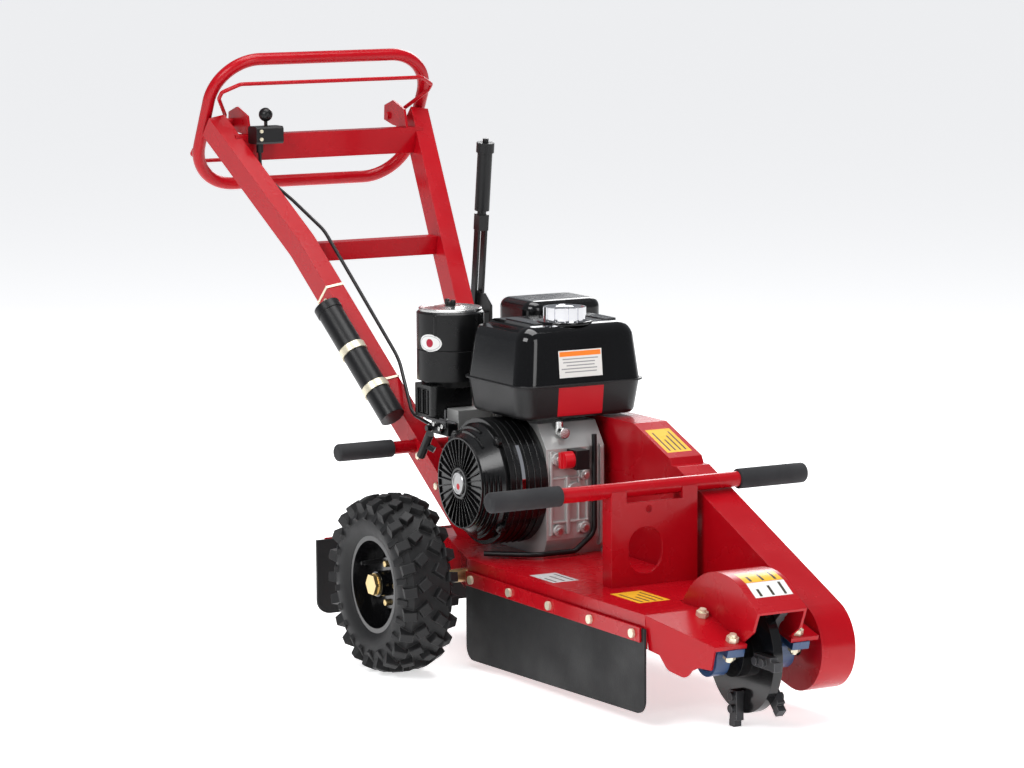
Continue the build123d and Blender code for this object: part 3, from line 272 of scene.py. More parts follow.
def block(name, low, high):
    low, high = Vector(low), Vector(high)
    bpy.ops.object.select_all(action="DESELECT")
    bpy.ops.mesh.primitive_cube_add(size=1, location=(low + high) / 2)
    bpy.context.object.scale = high - low
    return settle(bpy.context.object, name)


def drum(name, middle, radius, depth, sides=48, along="Y"):
    turn = {"X": (0, math.pi / 2, 0), "Y": (math.pi / 2, 0, 0), "Z": (0, 0, 0)}[along]
    bpy.ops.object.select_all(action="DESELECT")
    bpy.ops.mesh.primitive_cylinder_add(vertices=sides, radius=radius, depth=depth,
                                        location=middle, rotation=turn)
    return settle(bpy.context.object, name)


def choose_faces(piece, wanted):
    """Leaves the piece in edit mode with just the faces that pass the test selected."""
    hold(piece)
    bpy.ops.object.mode_set(mode="EDIT")
    bpy.ops.mesh.select_mode(type="FACE")
    bpy.ops.mesh.select_all(action="DESELECT")
    bpy.ops.object.mode_set(mode="OBJECT")
    for face in piece.data.polygons:
        face.select = bool(wanted(face.center, face.normal))
    bpy.ops.object.mode_set(mode="EDIT")


def choose_edges(piece, wanted):
    """As choose_faces, for the edges whose two ends pass the test."""
    hold(piece)
    bpy.ops.object.mode_set(mode="EDIT")
    bpy.ops.mesh.select_mode(type="EDGE")
    bpy.ops.mesh.select_all(action="DESELECT")
    bpy.ops.object.mode_set(mode="OBJECT")
    points = piece.data.vertices
    for edge in piece.data.edges:
        edge.select = bool(wanted(points[edge.vertices[0]].co, points[edge.vertices[1]].co))
    bpy.ops.object.mode_set(mode="EDIT")


def lay_down():
    bpy.ops.object.mode_set(mode="OBJECT")


def copy_to(piece, move):
    """One more of the same, with its own mesh, moved by a matrix."""
    again = piece.copy()
    again.data = piece.data.copy()
    bpy.context.scene.collection.objects.link(again)
    again.data.transform(move)
    return again


def weld_together(name, pieces):
    bpy.ops.object.select_all(action="DESELECT")
    for piece in pieces:
        piece.select_set(True)
    bpy.context.view_layer.objects.active = pieces[0]
    bpy.ops.object.join()
    pieces[0].name = name
    return pieces[0]


def dress(piece, body, material, smooth=35):
    piece.data.materials.clear()
    piece.data.materials.append(material)
    hold(piece)
    bpy.ops.object.shade_smooth_by_angle(angle=math.radians(smooth))
    flat_first = piece.modifiers.new("flat_first", "WEIGHTED_NORMAL")
    flat_first.keep_sharp = True
    bpy.ops.object.modifier_apply(modifier=flat_first.name)
    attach(piece, body)
    return piece


def turned_about(middle, angle, along="Y"):
    middle = Vector(middle)
    spin = Matrix.Rotation(angle, 4, along)
    return Matrix.Translation(middle) @ spin @ Matrix.Translation(-middle)


def tread_lug(name, middle, size, twist, splay):
    """One moulded block, standing out from the crown, narrower at its top."""
    bpy.ops.object.select_all(action="DESELECT")
    bpy.ops.mesh.primitive_cube_add(size=1)
    lug = bpy.context.object
    lug.scale = size
    settle(lug, name)
    choose_faces(lug, lambda centre, normal: normal.z > 0.9)
    bpy.ops.transform.resize(value=(0.82, 0.86, 1))
    lay_down()
    choose_edges(lug, lambda a, b: a.z > 0 and b.z > 0)
    bpy.ops.mesh.bevel(offset=0.0012, segments=1, affect="EDGES")
    lay_down()
    lean = Matrix.Rotation(splay, 4, "X") @ Matrix.Rotation(twist, 4, "Z")
    lug.data.transform(Matrix.Translation(middle) @ lean)
    return lug


lugs_round = 22
bead_radius = 0.0875
# Each row of lugs: its place across the half width, twist, splay, stagger and size.
lug_rows = ((-0.30, 0.62, 0.10, 0.0, (0.022, 0.026, 0.024)),
            (0.30, -0.62, -0.10, 0.5, (0.022, 0.026, 0.024)),
            (-0.74, 0.10, 0.42, 0.3, (0.021, 0.028, 0.024)),
            (0.74, -0.10, -0.42, 0.8, (0.021, 0.028, 0.024)),
            (-0.85, 0.0, 1.05, 0.8, (0.013, 0.026, 0.014)),
            (0.85, 0.0, -1.05, 0.3, (0.013, 0.026, 0.014)))
for side in ("right", "left"):
    tyre_low, tyre_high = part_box(side + "_tyre")
    hub = (tyre_low + tyre_high) / 2
    tyre_radius = (tyre_high.z - tyre_low.z) / 2
    half_width = (tyre_high.y - tyre_low.y) / 2
    carcass = drum(side + "_carcass", hub, tyre_radius - 0.012, half_width * 1.36, sides=72)
    choose_faces(carcass, lambda centre, normal: abs(normal.y) > 0.9)
    for thickness, depth in ((0.006, 0.004), (0.012, 0.008), (0.016, 0.003), (0.016, -0.002),
                             (0.012, -0.007), (0.005, -0.007)):
        bpy.ops.mesh.inset(thickness=thickness, depth=depth)
    bpy.ops.mesh.delete(type="FACE")
    lay_down()
    choose_edges(carcass, lambda a, b: max(math.hypot(p.x - hub.x, p.z - hub.z)
                                           for p in (a, b)) < bead_radius)
    bpy.ops.mesh.bridge_edge_loops()
    lay_down()
    lugs = [carcass]
    crown = tyre_radius - 0.0125
    for index in range(lugs_round):
        turn = index * math.tau / lugs_round
        for row, twist, splay, shift, size in lug_rows:
            height = crown - (0.006 if abs(row) > 0.6 else 0) - (0.016 if abs(row) > 0.8 else 0)
            lug = tread_lug("lug", (0, row * half_width, height), size, twist, splay)
            round_to = Matrix.Rotation(turn + shift * math.tau / lugs_round, 4, "Y")
            lug.data.transform(Matrix.Translation(hub) @ round_to)
            lugs.append(lug)
    tyre = weld_together(side + "_knobbly_tyre", lugs)
    dress(tyre, side + "_wheel", tyre_black, smooth=40)
    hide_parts(side + "_tyre")

# ---- Wheel disc bolts and valve stems ----
# Four yellow zinc hexagon bolts hold each wheel disc, and a rubber valve stem stands out of the
# dish. The nut that closes each hub is turned with the axle and is not made here.
bolt_circle = 0.036
for side, way in (("right", -1), ("left", 1)):
    rim_low, rim_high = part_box(side + "_rim")
    hub = (rim_low + rim_high) / 2
    face_y = hub.y + way * 0.010
    bolt = drum("bolt", (hub.x + bolt_circle, face_y + way * 0.003, hub.z), 0.0065, 0.008,
                sides=6)
    choose_faces(bolt, lambda centre, normal: normal.y * way > 0.9)
    bpy.ops.mesh.inset(thickness=0.0012, depth=0.0008)
    lay_down()
    ring = [bolt] + [copy_to(bolt, turned_about(hub, math.radians(90 * step))) for step in (1, 2, 3)]
    bolts = weld_together(side + "_disc_bolts", ring)
    dress(bolts, side + "_wheel", yellow_zinc)
    stem = drum(side + "_valve_stem", (hub.x - 0.058, hub.y + way * 0.012, hub.z + 0.030),
                0.0045, 0.034, sides=16)
    choose_faces(stem, lambda centre, normal: normal.y * way > 0.9)
    bpy.ops.mesh.inset(thickness=0.0012, depth=0.0)
    bpy.ops.mesh.extrude_region_move(TRANSFORM_OT_translate={"value": (0, way * 0.006, 0)})
    lay_down()
    dress(stem, side + "_wheel", black_rubber)

# ---- Lift-bar grips ----
# Closed-end sleeves of black foam pushed onto the ends of the two lift bars, with a rolled
# inner lip and a softly rounded end.
foam = finish_of("foam", (0.017, 0.017, 0.019), 0.8, depth=0.6, grain=900, mottle=0.15)
sleeves = []
for bar, reach in (("front_lift_bar", 0.145), ("rear_lift_bar", 0.120)):
    bar_low, bar_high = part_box(bar)
    centre = (bar_low + bar_high) / 2
    sleeve_radius = (bar_high.z - bar_low.z) / 2 + 0.0045
    for way in (-1, 1):
        end = bar_high.y + 0.004
        sleeve = drum("sleeve", (centre.x, way * (end - reach / 2), centre.z), sleeve_radius,
                      reach, sides=40)
        choose_edges(sleeve, lambda a, b: min(abs(a.y), abs(b.y)) > end - 0.001)
        bpy.ops.mesh.bevel(offset=0.007, segments=4, affect="EDGES")
        lay_down()
        choose_edges(sleeve, lambda a, b: max(abs(a.y), abs(b.y)) < end - reach + 0.001)
        bpy.ops.mesh.bevel(offset=0.0025, segments=3, affect="EDGES")
        lay_down()
        sleeves.append(sleeve)
grips = weld_together("foam_grips", sleeves)
dress(grips, "root", foam)
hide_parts("lift_grips")

# ---- Fuel tank ----
# Two deep-drawn steel halves crimped together at a flange: the upper one is deeper, glossy and
# stepped along its starter side, the lower one is satin. Its front carries two wordless decals.


def decal_mask(tree, middle, half, round_form=False):
    """1 inside a box, or a ball, of that half size about a point on the piece, and 0 outside."""
    place = tree.nodes.new("ShaderNodeTexCoord")
    centred = tree.nodes.new("ShaderNodeMapping")
    centred.vector_type = "TEXTURE"
    centred.inputs["Location"].default_value = middle
    centred.inputs["Scale"].default_value = half
    tree.links.new(place.outputs["Object"], centred.inputs["Vector"])
    if round_form:
        reach = tree.nodes.new("ShaderNodeVectorMath")
        reach.operation = "LENGTH"
        tree.links.new(centred.outputs["Vector"], reach.inputs[0])
        reach_value = reach.outputs["Value"]
    else:
        plain = tree.nodes.new("ShaderNodeVectorMath")
        plain.operation = "ABSOLUTE"
        tree.links.new(centred.outputs["Vector"], plain.inputs[0])
        apart = tree.nodes.new("ShaderNodeSeparateXYZ")
        tree.links.new(plain.outputs["Vector"], apart.inputs["Vector"])
        first = tree.nodes.new("ShaderNodeMath")
        first.operation = "MAXIMUM"
        tree.links.new(apart.outputs["X"], first.inputs[0])
        tree.links.new(apart.outputs["Y"], first.inputs[1])
        second = tree.nodes.new("ShaderNodeMath")
        second.operation = "MAXIMUM"
        tree.links.new(first.outputs["Value"], second.inputs[0])
        tree.links.new(apart.outputs["Z"], second.inputs[1])
        reach_value = second.outputs["Value"]
    inside = tree.nodes.new("ShaderNodeMath")
    inside.operation = "LESS_THAN"
    inside.inputs[1].default_value = 1
    tree.links.new(reach_value, inside.inputs[0])
    return inside.outputs["Value"]


def lay_decal(material, mask, colour):
    """Mixes a printed colour over the material's own where the mask is 1."""
    tree = material.node_tree
    skin = tree.nodes["Principled BSDF"]
    under = skin.inputs["Base Color"].links[0].from_socket
    over = tree.nodes.new("ShaderNodeMix")
    over.data_type = "RGBA"
    over.inputs[7].default_value = list(colour) + [1]
    tree.links.new(mask, over.inputs[0])
    tree.links.new(under, over.inputs[6])
    tree.links.new(over.outputs[2], skin.inputs["Base Color"])


tank_low, tank_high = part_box("fuel_tank")
cap_low, cap_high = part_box("fuel_cap")
flange = 0.006
corner_round = 0.034
seam_z = tank_low.z + 0.064
crown_z = tank_high.z - 0.006
shell_low = Vector((tank_low.x + flange, tank_low.y + flange, seam_z))
shell_high = Vector((tank_high.x - flange, tank_high.y - flange, crown_z))
upper = block("tank_upper", shell_low, shell_high)
choose_edges(upper, lambda a, b: abs(a.z - b.z) > 0.05)
bpy.ops.mesh.bevel(offset=corner_round, segments=7, affect="EDGES")
lay_down()
choose_faces(upper, lambda centre, normal: normal.z > 0.9)
bpy.ops.transform.resize(value=(0.90, 0.90, 1))
lay_down()
choose_edges(upper, lambda a, b: a.z > crown_z - 0.001 and b.z > crown_z - 0.001)
bpy.ops.mesh.bevel(offset=0.028, segments=7, affect="EDGES")
lay_down()
step_cut = block("step_cut", (shell_low.x - 0.01, shell_low.y - 0.01, crown_z - 0.011),
                 (shell_high.x - 0.045, shell_low.y + 0.052, crown_z + 0.02))
choose_edges(step_cut, lambda a, b: (a.z < crown_z and b.z < crown_z
                                     and min(a.y, b.y) > shell_low.y))
bpy.ops.mesh.bevel(offset=0.006, segments=3, affect="EDGES")
lay_down()
hold(upper)
notch = upper.modifiers.new("step", "BOOLEAN")
notch.object = step_cut
notch.solver = "EXACT"
bpy.ops.object.modifier_apply(modifier=notch.name)
bpy.data.objects.remove(step_cut)
cap_middle = (cap_low + cap_high) / 2
boss = drum("filler_boss", (cap_middle.x, cap_middle.y, crown_z + 0.0005), 0.052, 0.006,
            along="Z", sides=56)
choose_edges(boss, lambda a, b: a.z > crown_z and b.z > crown_z)
bpy.ops.mesh.bevel(offset=0.002, segments=2, affect="EDGES")
lay_down()
neck = drum("filler_neck", (cap_middle.x, cap_middle.y, crown_z + 0.005), 0.034, 0.012,
            along="Z", sides=48)
pads = [upper, boss, neck]
for y in (shell_low.y + 0.075, shell_high.y - 0.040):
    pad = block("pad", (shell_low.x + 0.055, y - 0.014, crown_z - 0.002),
                (shell_high.x - 0.060, y + 0.014, crown_z + 0.0015))
    choose_edges(pad, lambda a, b: abs(a.z - b.z) > 0.001)
    bpy.ops.mesh.bevel(offset=0.008, segments=3, affect="EDGES")
    lay_down()
    pads.append(pad)
tank_gloss = finish_of("tank_gloss", (0.0012, 0.0012, 0.0014), 0.08, depth=0.02, coat=0.15,
                       shine=0.35, worn=(0.01, 0.01, 0.01))
front_x = shell_high.x
label_y = tank_low.y + 0.134
gloss_tree = tank_gloss.node_tree
white_panel = decal_mask(gloss_tree, (front_x, label_y, seam_z + 0.038), (0.03, 0.046, 0.025))
lay_decal(tank_gloss, white_panel, (0.72, 0.71, 0.68))
orange_band = decal_mask(gloss_tree, (front_x, label_y, seam_z + 0.0565), (0.03, 0.044, 0.0045))
lay_decal(tank_gloss, orange_band, (0.85, 0.22, 0.03))
for line in range(5):
    grey_bar = decal_mask(gloss_tree,
                          (front_x, label_y - 0.003 * (line % 2), seam_z + 0.047 - 0.006 * line),
                          (0.03, 0.038 - 0.004 * (line % 3), 0.0011))
    lay_decal(tank_gloss, grey_bar, (0.30, 0.30, 0.30))
upper = weld_together("tank_upper", pads)
dress(upper, "root", tank_gloss)
lower = block("tank_lower", (shell_low.x, shell_low.y, tank_low.z), (shell_high.x, shell_high.y, seam_z))
choose_edges(lower, lambda a, b: abs(a.z - b.z) > 0.05)
bpy.ops.mesh.bevel(offset=corner_round, segments=7, affect="EDGES")
lay_down()
choose_faces(lower, lambda centre, normal: normal.z < -0.9)
bpy.ops.transform.resize(value=(0.93, 0.93, 1))
lay_down()
choose_edges(lower, lambda a, b: a.z < tank_low.z + 0.001 and b.z < tank_low.z + 0.001)
bpy.ops.mesh.bevel(offset=0.009, segments=3, affect="EDGES")
lay_down()
crimp = block("crimp", (tank_low.x, tank_low.y, seam_z - 0.002),
              (tank_high.x, tank_high.y, seam_z + 0.002))
choose_edges(crimp, lambda a, b: abs(a.z - b.z) > 0.003)
bpy.ops.mesh.bevel(offset=0.040, segments=8, affect="EDGES")
lay_down()
choose_edges(crimp, lambda a, b: abs(a.z - b.z) < 0.0001)
bpy.ops.mesh.bevel(offset=0.0012, segments=2, affect="EDGES")
lay_down()
tank_satin = finish_of("tank_satin", (0.008, 0.008, 0.0085), 0.34, depth=0.2, grain=900, shine=0.3,
                       worn=(0.03, 0.03, 0.03))
red_panel = decal_mask(tank_satin.node_tree, (front_x, label_y, seam_z - 0.032),
                       (0.03, 0.048, 0.027))
lay_decal(tank_satin, red_panel, (0.50, 0.006, 0.014))
lower = weld_together("tank_lower", [lower, crimp])
dress(lower, "root", tank_satin)
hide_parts("fuel_tank")

# ---- Fuel cap ----
# A pressed steel cap, chromed, with twelve finger scallops round its skirt. Its top is dished
# inside a raised rim.
cap = drum("chromed_cap", cap_middle, (cap_high.x - cap_low.x) / 2, cap_high.z - cap_low.z,
           along="Z", sides=96)
choose_faces(cap, lambda c, n: abs(n.z) < 0.1 and
             (math.degrees(math.atan2(c.y - cap_middle.y, c.x - cap_middle.x)) % 30) < 11)
bpy.ops.mesh.inset(thickness=0.0012, depth=-0.0032)
lay_down()
choose_faces(cap, lambda c, n: n.z > 0.9 and c.z > cap_high.z - 0.0003)
bpy.ops.mesh.inset(thickness=0.004, depth=0.0)
bpy.ops.mesh.inset(thickness=0.002, depth=-0.0025)
bpy.ops.mesh.inset(thickness=0.016, depth=0.001)
lay_down()
dress(cap, "filler_cap", chrome)
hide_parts("fuel_cap")

# ---- Air cleaner ----
# A satin black moulded barrel, grooved round its seam and badged with a wordless oval, under a
# bright dished lid and a black wing nut. Below it is a narrower ribbed box, on its left a round
# intake stub and behind it a bright heat plate.
air_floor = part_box("air_cleaner")[0].z
barrel_x = axle_x - 0.228
barrel_y = -0.060
barrel_radius = 0.0645
barrel_bottom, barrel_top = 0.500, 0.628
groove_z = 0.5590
barrel = drum("air_barrel", (barrel_x, barrel_y, (barrel_bottom + barrel_top) / 2), barrel_radius,
              barrel_top - barrel_bottom, sides=72, along="Z")
choose_faces(barrel, lambda centre, normal: normal.z > 0.9)
bpy.ops.mesh.inset(thickness=0.004, depth=0.004)
bpy.ops.mesh.inset(thickness=0.010, depth=0.002)
lay_down()
choose_faces(barrel, lambda centre, normal: normal.z < -0.9)
bpy.ops.mesh.inset(thickness=0.006, depth=0.0)
bpy.ops.mesh.extrude_region_move(TRANSFORM_OT_translate={"value": (0, 0, -0.012)})
bpy.ops.transform.resize(value=(0.9, 0.9, 1))
lay_down()
hold(barrel)
bpy.ops.object.mode_set(mode="EDIT")
for height in (0.5575, groove_z, 0.5600, 0.5170, 0.5180):
    bpy.ops.mesh.select_all(action="SELECT")
    bpy.ops.mesh.bisect(plane_co=(barrel_x, barrel_y, height), plane_no=(0, 0, 1))
lay_down()
choose_edges(barrel, lambda a, b: max(abs(a.z - groove_z), abs(b.z - groove_z)) < 0.0002)
bpy.ops.transform.resize(value=(0.972, 0.972, 1))
lay_down()
lower_box = block("air_box", (barrel_x - 0.040, barrel_y - 0.060, air_floor + 0.001),
                  (barrel_x + 0.040, barrel_y + 0.029, 0.492))
choose_edges(lower_box, lambda a, b: abs(a.z - b.z) > 0.01)
bpy.ops.mesh.bevel(offset=0.010, segments=4, affect="EDGES")
lay_down()
choose_faces(lower_box, lambda c, n: n.y < -0.9 and abs(n.x) < 0.1)
bpy.ops.mesh.inset(thickness=0.007, depth=0)
bpy.ops.mesh.inset(thickness=0.0015, depth=-0.003)
lay_down()
ribs = [barrel, lower_box]
for step in range(3):
    rib = block("rib", (barrel_x - 0.024 + 0.020 * step, barrel_y - 0.0615, air_floor + 0.010),
                (barrel_x - 0.020 + 0.020 * step, barrel_y - 0.055, 0.482))
    choose_edges(rib, lambda a, b: abs(a.z - b.z) > 0.01)
    bpy.ops.mesh.bevel(offset=0.0012, segments=2, affect="EDGES")
    lay_down()
    ribs.append(rib)
lug_circle = 0.0625
for angle in (35, 125, 215, 305):
    lug = drum("lug", (barrel_x + lug_circle * math.cos(math.radians(angle)),
                       barrel_y + lug_circle * math.sin(math.radians(angle)), 0.606),
               0.004, 0.040, sides=12, along="Z")
    choose_edges(lug, lambda a, b: abs(a.z - b.z) < 0.0001)
    bpy.ops.mesh.bevel(offset=0.0012, segments=2, affect="EDGES")
    lay_down()
    ribs.append(lug)
stub = drum("elbow", (barrel_x - 0.020, barrel_y + 0.046, 0.560), 0.034, 0.070, sides=40,
            along="Y")
choose_edges(stub, lambda a, b: max(a.y, b.y) > barrel_y + 0.08 and abs(a.y - b.y) < 0.001)
bpy.ops.mesh.bevel(offset=0.012, segments=4, affect="EDGES")
lay_down()
barrel = weld_together("air_barrel", ribs + [stub])
air_plastic = finish_of("air_plastic", (0.003, 0.003, 0.0033), 0.28, shine=0.3, depth=0.12,
                        grain=900, mottle=0.12, worn=(0.02, 0.02, 0.02))
badge_way = Vector((0.400, -0.916, 0))
badge = Vector((barrel_x, barrel_y, 0.574)) + badge_way * barrel_radius
badge_white, badge_grey, badge_red = (0.7, 0.7, 0.69), (0.42, 0.42, 0.42), (0.35, 0.008, 0.03)
for half, ink in (((0.026, 0.026, 0.0165), badge_white), ((0.0235, 0.0235, 0.014), badge_grey),
                  ((0.022, 0.022, 0.0125), badge_white), ((0.008, 0.008, 0.008), badge_red)):
    lay_decal(air_plastic, decal_mask(air_plastic.node_tree, badge, half, round_form=True), ink)
dress(barrel, "root", air_plastic)
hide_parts("air_cleaner")
lid = drum("air_lid", (barrel_x, barrel_y, 0.634), 0.0605, 0.004, sides=72, along="Z")
choose_faces(lid, lambda centre, normal: normal.z > 0.9)
for thickness, depth in ((0.0015, 0.0012), (0.004, 0.0), (0.003, -0.0018), (0.016, 0.001),
                         (0.008, 0.0028), (0.010, 0.0008)):
    bpy.ops.mesh.inset(thickness=thickness, depth=depth)
lay_down()
dress(lid, "root", bright_steel)
wing = drum("wing_nut", (barrel_x, barrel_y, 0.6425), 0.0085, 0.010, sides=24, along="Z")
choose_edges(wing, lambda a, b: a.z > 0.64 and b.z > 0.64)
bpy.ops.mesh.bevel(offset=0.0015, segments=2, affect="EDGES")
lay_down()
ears = [wing]
for way in (-1, 1):
    ear = block("ear", (barrel_x + way * 0.0115 - 0.0065, barrel_y - 0.0022, 0.6400),
                (barrel_x + way * 0.0115 + 0.0065, barrel_y + 0.0022, 0.6515))
    choose_edges(ear, lambda a, b: abs(a.y - b.y) > 0.001)
    bpy.ops.mesh.bevel(offset=0.0035, segments=3, affect="EDGES")
    lay_down()
    ears.append(ear)
wing = weld_together("wing_nut", ears)
dress(wing, "root", air_plastic)
heat_plate = block("heat_plate", (barrel_x - 0.074, barrel_y - 0.004, 0.470),
                   (barrel_x - 0.071, barrel_y + 0.046, 0.590))
choose_edges(heat_plate, lambda a, b: abs(a.x - b.x) > 0.001)
bpy.ops.mesh.bevel(offset=0.008, segments=3, affect="EDGES")
lay_down()
dress(heat_plate, "root", bright_steel)

# ---- Control linkage ----
# Bright round-headed screws on the control panel and flat governor arms in dark steel that
# cross it, between the air cleaner and the shroud. Springs and links are left out.
panel_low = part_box("control_panel")[0]
arm_shift = Vector((0, 0.012, 0))
screws = []
for dx, dz in ((0.006, 0.014), (0.024, 0.020), (0.046, 0.013), (0.058, 0.019)):
    head = drum("screw", (panel_low.x + dx, panel_low.y - 0.001, panel_low.z + dz), 0.0042, 0.005,
                sides=20)
    choose_faces(head, lambda centre, normal: normal.y < -0.9)
    bpy.ops.mesh.inset(thickness=0.0012, depth=0)
    bpy.ops.mesh.inset(thickness=0.0005, depth=-0.001)
    lay_down()
    screws.append(head)
screws = weld_together("linkage_screws", screws)
dress(screws, "root", bright_steel)
arms = []
for low, high in (((-0.004, -0.016, 0.026), (0.074, -0.0135, 0.031)),
                  ((0.006, -0.010, 0.030), (0.012, -0.008, 0.064)),
                  ((0.046, -0.014, 0.030), (0.110, -0.012, 0.034)),
                  ((0.062, -0.012, 0.016), (0.067, -0.009, 0.052))):
    arm = block("arm", panel_low + Vector(low) + arm_shift, panel_low + Vector(high) + arm_shift)
    choose_edges(arm, lambda a, b: abs(a.y - b.y) > 0.001)
    bpy.ops.mesh.bevel(offset=0.0018, segments=2, affect="EDGES")
    lay_down()
    arms.append(arm)
arms = weld_together("governor_arms", arms)
dress(arms, "root", dark_iron)

# ---- Recoil starter and fan shroud details ----
# The starter cover is a black cone: fins round a bright hub on its face, curved louvres down
# its flank and four round bosses at its rim. The shroud behind it carries raised bands and a
# short bright trim strip.
shroud_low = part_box("fan_shroud")[0]
crank_x = axle_x - 0.015
crank_z = 0.335
face_y = -0.155
fin_count = 32
fin_from, fin_to = 0.031, 0.082
cone_from, cone_to, cone_depth = 0.084, 0.110, 0.034
boss_circle = 0.113
fin_black = finish_of("fin_black", (0.0018, 0.0018, 0.002), 0.24, depth=0.05, coat=0.12,
                      shine=0.35, worn=(0.02, 0.02, 0.02))
hub_point = Vector((crank_x, face_y, crank_z))
recoat(fin_black, "recoil_cover", "fan_shroud")
fin = block("fin", (crank_x + fin_from, face_y - 0.0045, crank_z - 0.0016),
            (crank_x + fin_to, face_y + 0.002, crank_z + 0.0016))
choose_faces(fin, lambda centre, normal: normal.x < -0.9)
bpy.ops.transform.resize(value=(1, 1, 0.5))
lay_down()
choose_edges(fin, lambda a, b: a.y < face_y - 0.004 and b.y < face_y - 0.004)
bpy.ops.mesh.bevel(offset=0.0007, segments=2, affect="EDGES")
lay_down()
fins = [fin] + [copy_to(fin, turned_about(hub_point, math.radians(360 / fin_count * step)))
                for step in range(1, fin_count)]
ring = drum("rim_ring", hub_point, 0.085, 0.007, sides=72)
choose_faces(ring, lambda centre, normal: normal.y < -0.9)
bpy.ops.mesh.inset(thickness=0.003, depth=0)
bpy.ops.mesh.inset(thickness=0.0005, depth=-0.005)
lay_down()
fins.append(ring)
inner = drum("hub_ring", hub_point, fin_from, 0.008, sides=48)
choose_faces(inner, lambda centre, normal: normal.y < -0.9)
bpy.ops.mesh.inset(thickness=0.002, depth=0.0015)
bpy.ops.mesh.inset(thickness=0.004, depth=0)
bpy.ops.mesh.inset(thickness=0.002, depth=-0.003)
lay_down()
fins.append(inner)
cone_run = Vector((cone_to - cone_from, cone_depth))
for start, stop, share in ((20, 96, 0.16), (18, 100, 0.36), (16, 104, 0.56), (14, 108, 0.76),
                           (100, 150, 0.40), (110, 150, 0.70)):
    near = cone_from + cone_run.x * share
    depth_y = face_y + cone_run.y * share
    slat = block("slat", (crank_x + near - 0.003, depth_y - 0.0028, crank_z - 0.0005),
                 (crank_x + near + 0.0022, depth_y + 0.0020, crank_z + 0.0005))
    slat.data.transform(turned_about(hub_point, math.radians(-start)))
    unturned = Matrix.Rotation(math.radians(start), 3, "Y")
    choose_faces(slat, lambda centre, normal: (unturned @ Vector(normal)).z > 0.9)
    bpy.ops.mesh.spin(steps=20, angle=math.radians(stop - start), center=hub_point,
                      axis=(0, -1, 0))
    lay_down()
    hold(slat)
    bpy.ops.object.mode_set(mode="EDIT")
    bpy.ops.mesh.select_all(action="SELECT")
    bpy.ops.mesh.remove_doubles(threshold=0.00005)
    bpy.ops.mesh.normals_make_consistent(inside=False)
    lay_down()
    fins.append(slat)
for angle in (48, 138, 222, 318):
    ear = drum("ear", (crank_x + boss_circle * math.cos(math.radians(angle)), shroud_low.y - 0.004,
                       crank_z + boss_circle * math.sin(math.radians(angle))),
               0.010, 0.008, sides=24)
    choose_faces(ear, lambda centre, normal: normal.y < -0.9)
    bpy.ops.mesh.inset(thickness=0.003, depth=0.0)
    bpy.ops.mesh.inset(thickness=0.0005, depth=0.003)
    lay_down()
    fins.append(ear)
fins = weld_together("starter_fins", fins)
dress(fins, "root", fin_black)
hub_cap = drum("starter_hub", hub_point + Vector((0, -0.004, 0)), 0.021, 0.006, sides=48)
choose_faces(hub_cap, lambda centre, normal: normal.y < -0.9)
bpy.ops.mesh.inset(thickness=0.0012, depth=0.0012)
bpy.ops.mesh.inset(thickness=0.003, depth=0)
bpy.ops.mesh.inset(thickness=0.0006, depth=-0.0008)
lay_down()
hub_metal = finish_of("hub_metal", (0.42, 0.42, 0.42), 0.36, metallic=0.8, depth=0.02)
hub_spot = hub_point + Vector((0.001, -0.006, -0.006))
lay_decal(hub_metal, decal_mask(hub_metal.node_tree, hub_spot, (0.006, 0.01, 0.006),
                                round_form=True), (0.45, 0.01, 0.02))
dress(hub_cap, "root", hub_metal)
ribs = []
for index in range(5):
    y = shroud_low.y + 0.012 + 0.013 * index
    band = drum("band", (crank_x, y, crank_z), 0.1195, 0.003, sides=96)
    choose_edges(band, lambda a, b: abs(a.y - b.y) < 0.0001)
    bpy.ops.mesh.bevel(offset=0.0009, segments=2, affect="EDGES")
    lay_down()
    hold(band)
    bpy.ops.object.mode_set(mode="EDIT")
    bpy.ops.mesh.select_all(action="SELECT")
    bpy.ops.mesh.bisect(plane_co=(crank_x + 0.030, y, crank_z), plane_no=(-1, 0, 0),
                        clear_outer=True, use_fill=True)
    lay_down()
    ribs.append(band)
strip = block("trim", (crank_x + 0.116, shroud_low.y + 0.022, crank_z - 0.012),
              (crank_x + 0.1215, shroud_low.y + 0.029, crank_z + 0.012))
ribs = weld_together("shroud_bands", ribs)
dress(ribs, "root", fin_black)
choose_faces(strip, lambda centre, normal: normal.z > 0.9)
bpy.ops.mesh.spin(steps=10, angle=math.radians(34), center=(crank_x, 0, crank_z),
                  axis=(0, 1, 0))
lay_down()
hold(strip)
bpy.ops.object.mode_set(mode="EDIT")
bpy.ops.mesh.select_all(action="SELECT")
bpy.ops.mesh.remove_doubles(threshold=0.00005)
bpy.ops.mesh.normals_make_consistent(inside=False)
lay_down()
dress(strip, "root", chrome)

# ---- Crankcase details ----
# Cast ribs, round bosses and hexagon bolts on the engine's front face, a lip where the side
# cover meets the case, and a bright fuel tap with its knob under the tank.
case_low, case_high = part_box("crankcase")
front = case_high.x
